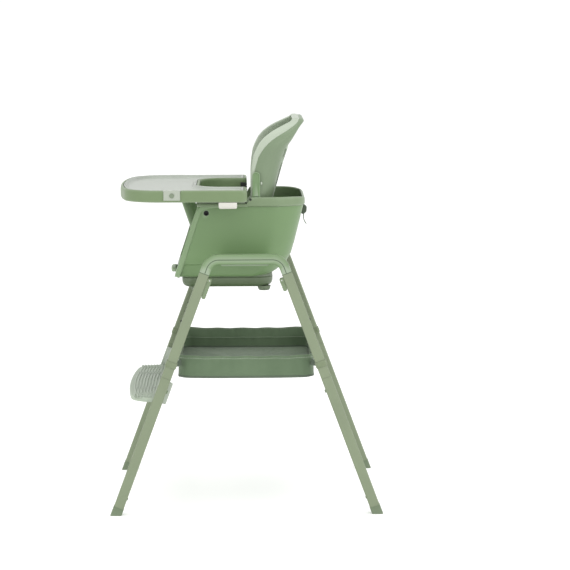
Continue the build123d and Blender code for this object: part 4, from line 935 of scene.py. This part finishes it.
# Ribs: the front line is repeated inwards along its own inward direction
rib_tree, rib_in, rib_out = new_tree(
    "tread ribs",
    (
        ("Ribs", "NodeSocketInt", 9), ("Spacing", "NodeSocketFloat", 0.009),
        ("Rib width", "NodeSocketFloat", 0.003), ("Finish", "NodeSocketMaterial", None)
    ),
)
to_line = rib_tree.nodes.new("GeometryNodeMeshToCurve")
copies = rib_tree.nodes.new("GeometryNodeDuplicateElements")
copies.domain = "SPLINE"
inward = rib_tree.nodes.new("GeometryNodeInputNamedAttribute")
inward.data_type = "FLOAT_VECTOR"
inward.inputs["Name"].default_value = "inward"
step_in = rib_tree.nodes.new("ShaderNodeMath")
step_in.operation = "MULTIPLY"
reach = rib_tree.nodes.new("ShaderNodeVectorMath")
reach.operation = "SCALE"
shift = rib_tree.nodes.new("GeometryNodeSetPosition")
section = rib_tree.nodes.new("GeometryNodeCurvePrimitiveCircle")
section.inputs["Resolution"].default_value = 8
half_width = rib_tree.nodes.new("ShaderNodeMath")
half_width.operation = "MULTIPLY"
half_width.inputs[1].default_value = 0.5
swept = rib_tree.nodes.new("GeometryNodeCurveToMesh")
swept.inputs["Fill Caps"].default_value = True
realized = rib_tree.nodes.new("GeometryNodeRealizeInstances")
dressed = rib_tree.nodes.new("GeometryNodeSetMaterial")
wire(
    rib_tree,
    (rib_in, "Geometry", to_line, "Mesh"),
    (to_line, "Curve", copies, "Geometry"),
    (rib_in, "Ribs", copies, "Amount"),
    (copies, "Duplicate Index", step_in, 0),
    (rib_in, "Spacing", step_in, 1),
    (inward, "Attribute", reach, 0),
    (step_in, "Value", reach, "Scale"),
    (copies, "Geometry", shift, "Geometry"),
    (reach, "Vector", shift, "Offset"),
    (rib_in, "Rib width", half_width, 0),
    (half_width, "Value", section, "Radius"),
    (shift, "Geometry", swept, "Curve"),
    (section, "Curve", swept, "Profile Curve"),
    (swept, "Mesh", realized, "Geometry"),
    (realized, "Geometry", dressed, "Geometry"),
    (rib_in, "Finish", dressed, "Material"),
    (dressed, "Geometry", rib_out, "Geometry"),
)

rib_border, rib_count, rib_spacing, rib_rear, plate_front = 14.0, 8, 0.0078, -0.2155, -221
first_rib = inset_by(tread_outline, rib_border)
inward_way = inset_by(tread_outline, 1.0) - tread_outline
# Keep the part of the outline in front of the slide plates, from left round to right
chosen = [k for k in range(len(first_rib)) if first_rib[k][1] < plate_front]
gap = next(k for k in range(len(chosen)) if chosen[k] - chosen[k - 1] != 1)
chosen = chosen[gap:] + chosen[:gap]
rib_line = line_mesh(
    "rib line", [[(first_rib[k][0] / 1000, first_rib[k][1] / 1000, 0.2936) for k in chosen]]
)
direction = rib_line.attributes.new("inward", "FLOAT_VECTOR", "POINT")
ways = np.array([(inward_way[k][0], inward_way[k][1], 0.0) for k in chosen], np.float32)
direction.data.foreach_set("vector", ways.ravel())
rib_mesh = grown(
    "ribs", rib_line, rib_tree,
    {"Ribs": rib_count, "Spacing": rib_spacing, "Rib width": 0.0034, "Finish": tread_finish}
)
rib_mesh.shade_smooth()
trimmed = bmesh.new()
trimmed.from_mesh(rib_mesh)
everything = trimmed.verts[:] + trimmed.edges[:] + trimmed.faces[:]
bmesh.ops.bisect_plane(
    trimmed, geom=everything, plane_co=(0, rib_rear, 0), plane_no=(0, 1, 0), clear_outer=True
)
bmesh.ops.holes_fill(trimmed, edges=trimmed.edges[:])
trimmed.to_mesh(rib_mesh)
trimmed.free()
put("tread_ribs", rib_mesh, tread_finish, "footrest", "footrest_plastic")

# ---- Painted shade in holes --------------------------------------------------------
# Thin dark discs sit just inside the legs' adjustment holes and the small hole at each
# end of the bowl's high rim: painted shade that darkens the hollow behind them.

leg_x, foot_reach, lean = 281.0, 327.7, radians(20.37)
leg_holes = ((1, 462, 1.58), (1, 448, 1.58), (1, 438, 1.58), (1, 411, 3.18), (-1, 414, 2.58))
leg_shade_disc_profile = ((271.4, 0.1), (270.7, 0.0), (270.3, 0.1), (270.2, 0.4))
rim_shade_disc_profile = ((170.6, 2.9), (171.1, 2.9), (171.2, 2.5))
for side, hand in sides:
    shade_discs = []
    for facing, height, radius in leg_holes:
        centre_y = -facing * (foot_reach - height * np.tan(lean))
        rows = [round_ring(hand * x, centre_y, height, radius - inset, 20) for x, inset in leg_shade_disc_profile]
        shade_discs.append(skin_over("hole shade disc", rows, close_points=True, cap_ends=True))
    rows = [round_ring(hand * x, rim_hole_y, rim_hole_z, radius, 20) for x, radius in rim_shade_disc_profile]
    shade_discs.append(skin_over("rim hole shade disc", rows, close_points=True, cap_ends=True))
    put(f"hole_shade_discs_{side}", clean(join_meshes("shade_discs", shade_discs)), dark_plastic, "chair", "dark_plastic")

# ---- Basket ------------------------------------------------------------------------
# An open bag of dark sage polyester under the seat: one sheet folded up into four sides,
# a stitched hem round its mouth, a bound lower edge and a webbing strap at each corner.

weave, weave_start, weave_end = new_group(
    "plain weave",
    (
        ("Colour", "NodeSocketColor", (0.17, 0.23, 0.15, 1.0)),
        ("Faded colour", "NodeSocketColor", (0.22, 0.29, 0.2, 1.0)),
        ("Threads", "NodeSocketFloat", 1400.0),
        ("Creases", "NodeSocketFloat", 11.0),
    ),
    (("Colour", "NodeSocketColor"), ("Roughness", "NodeSocketFloat"), ("Height", "NodeSocketFloat")),
)
threads = []
for way in ("X", "Y", "Z"):
    coordinates = weave.nodes.new("ShaderNodeTexCoord")
    wave = weave.nodes.new("ShaderNodeTexWave")
    wave.bands_direction = way
    wave.inputs["Distortion"].default_value = 0.6
    wire(
        weave,
        (coordinates, "Object", wave, "Vector"),
        (weave_start, "Threads", wave, "Scale"),
    )
    threads.append(wave)
crossed = weave.nodes.new("ShaderNodeMath")
crossed.operation = "MAXIMUM"
weave.links.new(threads[0].outputs["Fac"], crossed.inputs[0])
weave.links.new(threads[1].outputs["Fac"], crossed.inputs[1])
cloth_height = weave.nodes.new("ShaderNodeMath")
cloth_height.operation = "MULTIPLY"
weave.links.new(crossed.outputs["Value"], cloth_height.inputs[0])
weave.links.new(threads[2].outputs["Fac"], cloth_height.inputs[1])
folds = scaled_noise(weave, weave_start, "Creases", 4.0)
fade = weave.nodes.new("ShaderNodeMix")
fade.data_type = "RGBA"
weave.links.new(ranged(weave, folds.outputs["Fac"], 0.35, 0.68, 0.0, 1.0), fade.inputs["Factor"])
wire(
    weave,
    (weave_start, "Colour", fade, "A"),
    (weave_start, "Faded colour", fade, "B"),
    (fade, "Result", weave_end, "Colour"),
)
weave.links.new(ranged(weave, folds.outputs["Fac"], 0.3, 0.7, 0.78, 0.9), weave_end.inputs["Roughness"])
weave.links.new(cloth_height.outputs["Value"], weave_end.inputs["Height"])


def woven(name, colour, faded, thread_count=1400.0, creases=11.0, relief_depth=0.35, sheen=0.25):
    """A woven finish: threads both ways, colour that fades along the folds and a soft sheen."""
    finish = bpy.data.materials.new(name)
    finish.use_nodes = True
    tree = finish.node_tree
    shader = tree.nodes["Principled BSDF"]
    cloth = tree.nodes.new("ShaderNodeGroup")
    cloth.node_tree = weave
    cloth.inputs["Colour"].default_value = (*colour, 1.0)
    cloth.inputs["Faded colour"].default_value = (*faded, 1.0)
    cloth.inputs["Threads"].default_value = thread_count
    cloth.inputs["Creases"].default_value = creases
    relief = tree.nodes.new("ShaderNodeBump")
    relief.inputs["Distance"].default_value = 0.0006
    relief.inputs["Strength"].default_value = relief_depth
    shader.inputs["Sheen Weight"].default_value = sheen
    shader.inputs["Specular IOR Level"].default_value = 0.25
    wire(
        tree,
        (cloth, "Colour", shader, "Base Color"),
        (cloth, "Roughness", shader, "Roughness"),
        (cloth, "Height", relief, "Height"),
        (relief, "Normal", shader, "Normal"),
    )
    return finish


cloth_finish = woven("dark sage polyester", (0.110, 0.163, 0.094), (0.135, 0.194, 0.116))
hem_finish = woven("sage hem", (0.117, 0.172, 0.101), (0.141, 0.198, 0.121))
binding_finish = woven("dark binding", (0.085, 0.115, 0.080), (0.11, 0.145, 0.10), 1800.0)
thread_finish = moulded("pale sewing thread", (0.33, 0.40, 0.29), roughness=0.7, grain_size=3000.0)
basket_half_x, basket_half_y, basket_low, basket_high, basket_corner = 247.0, 169.0, 344.0, 399.5, 27.0
mouth = rounded_outline(
    [
        (basket_half_x, -basket_half_y, basket_corner), (basket_half_x, basket_half_y, basket_corner),
        (-basket_half_x, basket_half_y, basket_corner), (-basket_half_x, -basket_half_y, basket_corner)
    ],
    4.0
)


def basket_point(k, height, outset=0.0):
    """A point on the bag's side: the mouth sags between the corners and the cloth bellies and puckers."""
    x, y = inset_by(mouth, -outset)[k] if outset else mouth[k]
    up = (height - basket_low) / (basket_high - basket_low)
    along_x = 1 - min(1.0, abs(x) / basket_half_x) ** 4
    along_y = 1 - min(1.0, abs(y) / basket_half_y) ** 4
    middle = along_x if abs(y) > abs(x) * basket_half_y / basket_half_x else along_y
    pucker = 1.1 * sin(k * 0.83) * sin(k * 0.21 + 1.0) * (0.3 + 0.7 * up)
    belly = -2.6 * middle * sin(pi * min(1, up)) * 0.6 - 2.0 * middle * up
    scale = 1 + (belly + pucker) / max(abs(x), abs(y), 1)
    sag = 4.2 * middle * up**2 + 0.7 * sin(k * 0.37) * up
    droop = 2.2 * middle * (1 - up) ** 2
    return (x * scale / 1000, y * scale / 1000, (height - sag - droop) / 1000)


side_heights = np.linspace(basket_low, basket_high, 15)
bag_rows = [[basket_point(k, height) for k in range(len(mouth))] for height in reversed(side_heights)]
for t in (0.97, 0.9, 0.8, 0.65, 0.5, 0.35, 0.2, 0.08):
    ring = []
    for k in range(len(mouth)):
        x, y, z = bag_rows[14][k]
        slump = 0.0022 * (1 - t) + 0.0008 * sin(x * 41) * sin(y * 53) * (1 - t)
        ring.append((x * t, y * t, z + 0.0004 - slump + (1 - t) * 0.0015))
    bag_rows.append(ring)
bag_mesh = skin_over("bag", bag_rows, close_points=True)
bag_bottom = bmesh.new()
bag_bottom.from_mesh(bag_mesh)
below_mouth = 0.36
open_edges = [e for e in bag_bottom.edges if e.is_boundary and e.verts[0].co.z < below_mouth]
bmesh.ops.holes_fill(bag_bottom, edges=open_edges, sides=0)
bag_bottom.to_mesh(bag_mesh)
bag_bottom.free()
bag = put("bag", clean(bag_mesh, 60), cloth_finish, "chair", "basket_fabric", "basket")
bag_wall = bag.modifiers.new("cloth", "SOLIDIFY")
bag_wall.thickness = 0.0012
bag_wall.offset = 1.0

hem_height = 31.0
hem_rows = []
hem_outside, hem_inside = basket_high - 9.0, basket_high - hem_height
for outset, first, final in ((1.5, hem_outside, basket_high + 0.2), (-1.9, basket_high + 0.2, hem_inside)):
    for height in np.linspace(first, final, 9):
        hem_rows.append([basket_point(k, height, outset) for k in range(len(mouth))])
hem = put(
    "bag_hem", clean(skin_over("hem", hem_rows, close_rows=True, close_points=True), 50), hem_finish,
    "chair", "basket_fabric"
)
binding_rows = []
for a in np.linspace(0, 2 * pi, 10, endpoint=False):
    binding_rows.append(
        [basket_point(k, basket_low + 1.2 + 3.2 * sin(a), 0.4 + 1.7 * cos(a)) for k in range(len(mouth))]
    )
binding = put(
    "bag_binding", clean(skin_over("binding", binding_rows, close_rows=True, close_points=True), 60),
    binding_finish, "chair", "basket_fabric"
)

# Stitches: short rounded thread beads set along a line
stitch_tree, stitch_in, stitch_out = new_tree(
    "stitches",
    (
        ("Stitch length", "NodeSocketFloat", 0.0042), ("Spacing", "NodeSocketFloat", 0.0062),
        ("Thread", "NodeSocketFloat", 0.0009), ("Finish", "NodeSocketMaterial", None)
    ),
)
seam = stitch_tree.nodes.new("GeometryNodeMeshToCurve")
even = stitch_tree.nodes.new("GeometryNodeResampleCurve")
even.mode = "LENGTH"
bead = stitch_tree.nodes.new("GeometryNodeMeshCylinder")
bead.inputs["Vertices"].default_value = 6
slim = stitch_tree.nodes.new("ShaderNodeMath")
slim.operation = "MULTIPLY"
slim.inputs[1].default_value = 0.5
lie = stitch_tree.nodes.new("GeometryNodeInputTangent")
turn = stitch_tree.nodes.new("FunctionNodeAlignEulerToVector")
turn.axis = "Z"
place_beads = stitch_tree.nodes.new("GeometryNodeInstanceOnPoints")
stitch_real = stitch_tree.nodes.new("GeometryNodeRealizeInstances")
stitch_dress = stitch_tree.nodes.new("GeometryNodeSetMaterial")
wire(
    stitch_tree,
    (stitch_in, "Geometry", seam, "Mesh"),
    (seam, "Curve", even, "Curve"),
    (stitch_in, "Spacing", even, "Length"),
    (stitch_in, "Thread", slim, 0),
    (slim, "Value", bead, "Radius"),
    (stitch_in, "Stitch length", bead, "Depth"),
    (lie, "Tangent", turn, "Vector"),
    (even, "Curve", place_beads, "Points"),
    (bead, "Mesh", place_beads, "Instance"),
    (turn, "Rotation", place_beads, "Rotation"),
    (place_beads, "Instances", stitch_real, "Geometry"),
    (stitch_real, "Geometry", stitch_dress, "Geometry"),
    (stitch_in, "Finish", stitch_dress, "Material"),
    (stitch_dress, "Geometry", stitch_out, "Geometry"),
)

seam_lines = []
for outset, height in (
    (1.9, basket_high - 7.0), (-2.3, basket_high - hem_height + 3.0), (-2.3, basket_high - 3.0)
):
    seam_lines.append([basket_point(k, height, outset) for k in range(len(mouth))])
stitch_sizes = {"Stitch length": 0.0042, "Spacing": 0.0062, "Thread": 0.0009, "Finish": thread_finish}
seam_mesh = grown("stitches", line_mesh("seams", seam_lines, closed=True), stitch_tree, stitch_sizes)
stitching = put("bag_stitches", seam_mesh, None, "chair", "basket_fabric")

# ---- Straps ------------------------------------------------------------------------
# Flat woven polyester webbing: loops round the legs that hold the basket, the harness's
# shoulder, waist and crotch straps, and a short tail through the clip behind the bowl.

webbing_finish = woven("sage webbing", (0.16, 0.215, 0.145), (0.20, 0.26, 0.18), 2600.0, 30.0, 0.5)
loop_finish = woven("pale webbing loop", (0.190, 0.235, 0.140), (0.21, 0.255, 0.16), 2600.0, 30.0, 0.5)
loop_height, loop_half_width = 381.0, 8.0
loop_profile = [
    (1.2, 0), (1.1, 0.8), (0.5, 1.0), (0, 1.5), (0, 14.5), (0.5, 15.0), (1.1, 15.2), (1.2, 16.0)
]


def sleeve(name, hand, facing, height, half_across, half_deep, corner, profile):
    """A band round a leg at a height; the profile lists inset and lift along the leg."""
    corners = ((1, 1), (-1, 1), (-1, -1), (1, -1))
    outline = rounded_outline([(half_across * x, half_deep * y, corner) for x, y in corners], 1.5)
    centre = np.array((hand * leg_x, -facing * (foot_reach - height * np.tan(lean)), height))
    up_leg = np.array((0.0, facing * sin(lean), cos(lean)))
    across_leg = np.array((0.0, facing * cos(lean), -sin(lean)))
    rows = []
    for inset, lift in profile:
        loop = inset_by(outline, inset)
        rows.append(
            [tuple((centre + np.array((x, 0, 0)) + across_leg * y + up_leg * lift) / 1000) for x, y in loop]
        )
    return clean(skin_over(name, rows, close_points=True))


def strap_along(name, line, outward, width, thickness, finish, body, slot, *nodes):
    """A flat strap swept along a line, its face turned the way outward says."""
    strap = band_along(name, line, outward, width, thickness, 0.35, 16)
    return put(name, clean(strap), finish, body, slot, *nodes)


for end, facing in ends:
    for side, hand in sides:
        rows = [(inset, lift - loop_half_width) for inset, lift in loop_profile]
        band = sleeve("loop", hand, facing, loop_height, 13.0, 14.5, 5.5, rows)
        loop = put(f"leg_loop_{end}_{side}", band, loop_finish, "chair", "loop_webbing")
        if end == "front" and side == "left":
            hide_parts("leg_loops")
        start = np.array((hand * 267.0, -facing * 184.0, 381.0))
        stop = np.array((hand * 240.5, -facing * 162.5, 379.5))
        away = (stop - start) / np.linalg.norm(stop - start)
        near_start, near_stop = start + away * 9 + (0, 0, -0.9), stop - away * 7 + (0, 0, -1.2)
        middle = (start + stop) / 2 + (0, 0, -1.6)
        strap_line = smooth_line(np.array([start, near_start, middle, near_stop, stop]) / 1000, 24)
        strap_face = np.cross(away, (0, 0, 1))
        nodes_here = ("basket_straps",) if end == "front" and side == "left" else ()
        strap_along(
            f"basket_strap_{end}_{side}", strap_line, [strap_face] * 24, 0.016, 0.0018, binding_finish,
            "chair", "webbing", *nodes_here
        )

for side, hand in sides:
    strap_z = np.linspace(702, 915, 40)
    strap_y = np.interp(strap_z, spine[:, 2], spine[:, 1]) - 6.2
    ripple = [0.35 * sin(k * 0.55) for k in range(40)]
    line = [(hand * 0.050, (y + r) / 1000, z / 1000) for y, r, z in zip(strap_y, ripple, strap_z)]
    strap_along(
        f"shoulder_strap_{side}", line, [(0, -1, 0)] * 40, 0.025, 0.0018, webbing_finish, "backrest",
        "webbing", *(("shoulder_straps",) if side == "left" else ())
    )
    waist = smooth_line(
        np.array(
            [
                (hand * 160.0, -58, 664), (hand * 159.2, -58, 645), (hand * 157.5, -58, 622),
                (hand * 152, -58, 610.5), (hand * 138, -58, 606.8), (hand * 110, -58, 606.6),
                (hand * 62, -58, 606.6)
            ]
        ) / 1000,
        60
    )
    waist_out = [
        (-hand * cos(a), 0, sin(a))
        for a in np.interp(range(60), (0, 22, 32, 59), (0.0, 0.1, pi / 2, pi / 2))
    ]
    strap_along(
        f"waist_strap_{side}", waist, waist_out, 0.025, 0.0018, webbing_finish, "chair", "webbing",
        *(("seat_straps",) if side == "left" else ())
    )
crotch_line = [(0, y / 1000, 0.6063 + 0.0003 * sin(y)) for y in np.linspace(-62, -25, 20)]
strap_along(
    "crotch_strap", crotch_line, [(0, 0, 1)] * 20, 0.025, 0.0018, webbing_finish, "chair", "webbing"
)
coat_nodes(dark_plastic, "harness_buckle")

tail = smooth_line(
    np.array(
        [
            (0, 147.8, 762), (0, 149.4, 752), (0, 153.0, 745), (0, 154.2, 737), (0, 151.6, 728),
            (0, 150.8, 719), (0, 153.6, 710), (0, 158.0, 703)
        ]
    ) / 1000,
    60
)
strap_along(
    "rear_tail", tail, [(0, 1, -0.3)] * 60, 0.017, 0.0022, webbing_finish, "chair", "webbing", "rear_strap"
)
rear_clip_finish = moulded("dark sage clip", (0.050, 0.072, 0.042), roughness=0.4)
clip_side = rounded_outline(
    [
        (144.6, 730, 2.5), (145.6, 752, 2.5), (152, 753.5, 3), (159.5, 748, 4), (158.5, 735, 4),
        (151, 729, 4)
    ],
    1.0
)
for name, low_x, high_x in (("rear_clip_cheek_left", 9.2, 13.0), ("rear_clip_cheek_right", -13.0, -9.2)):
    cheek_rows = []
    for inset, t in [
        (2.4, 0), (0.9, 0.04), (0.2, 0.2), (0, 0.4), (0, 0.6), (0.2, 0.8), (0.9, 0.96), (2.4, 1)
    ]:
        x = low_x + (high_x - low_x) * t
        cheek_rows.append([(x / 1000, y / 1000, z / 1000) for y, z in inset_by(clip_side, inset)])
    put(
        name, capped("cheek", cheek_rows), rear_clip_finish, "chair", "dark_plastic",
        *(("rear_clip",) if low_x > 0 else ())
    )
for number, (bar_y, bar_z, bar_radius) in enumerate(
    [(147.6, 741, 2.0), (156.6, 741.5, 1.6), (152.5, 749.6, 1.5)]
):
    bar_rows = [round_ring(x, bar_y, bar_z, bar_radius, 16, 1.3) for x in np.linspace(-10, 10, 9)]
    put(f"rear_clip_bar_{number + 1}", capped("bar", bar_rows), rear_clip_finish, "chair", "dark_plastic")

# ---- Parting lines -----------------------------------------------------------------
# A dark strip sits in the joint between the two halves of each bridge's cover, and a thin
# dark ring sits at the seam where each leg's tube comes out of the bridge: both are painted shade in these
# gaps.

# The strips and rings are painted shade for the dark line in each joint.
joint_shade_finish = moulded("dark joint painted shade", (0.055, 0.085, 0.045), roughness=0.7, edge_highlight=0.0)
ring_profile = [(0.9, -0.8), (0.2, -0.7), (0, -0.4), (0, 0.4), (0.2, 0.7), (0.9, 0.8)]
seam_height, gap_shade_foot, bridge_height, bridge_bend = 608.0, 608.5, 643.5, 32.5
leg_slope = np.tan(lean)
corner_y, seam_y = foot_reach - bridge_height * leg_slope, foot_reach - gap_shade_foot * leg_slope
n_corners = [
    (-seam_y, gap_shade_foot, 0), (-corner_y, bridge_height, bridge_bend),
    (corner_y, bridge_height, bridge_bend), (seam_y, gap_shade_foot, 0)
]
n_outline = rounded_outline(n_corners, 2.0)
n_line = inset_by(n_outline, 1.0)
last = next(k for k in range(40, len(n_outline)) if n_outline[k][1] < gap_shade_foot + 1)
for side, hand in sides:
    strips = []
    for x in (292.05, 269.95):
        line = [(hand * x / 1000, y / 1000, z / 1000) for y, z in n_line[1:last]]
        strips.append(
            band_along(
                "gap shade", line, [(hand if x > leg_x else -hand, 0, 0)] * len(line), 0.0019, 0.0005, 0.5, 10
            )
        )
    put(f"bridge_gap_shade_{side}", clean(join_meshes("gap shade", strips)), joint_shade_finish, "chair", "dark_plastic")
    for end, facing in ends:
        ring = sleeve("ring", hand, facing, seam_height, 11.25, 12.75, 4.1, ring_profile)
        put(f"seam_shade_ring_{end}_{side}", ring, joint_shade_finish, "chair", "dark_plastic")
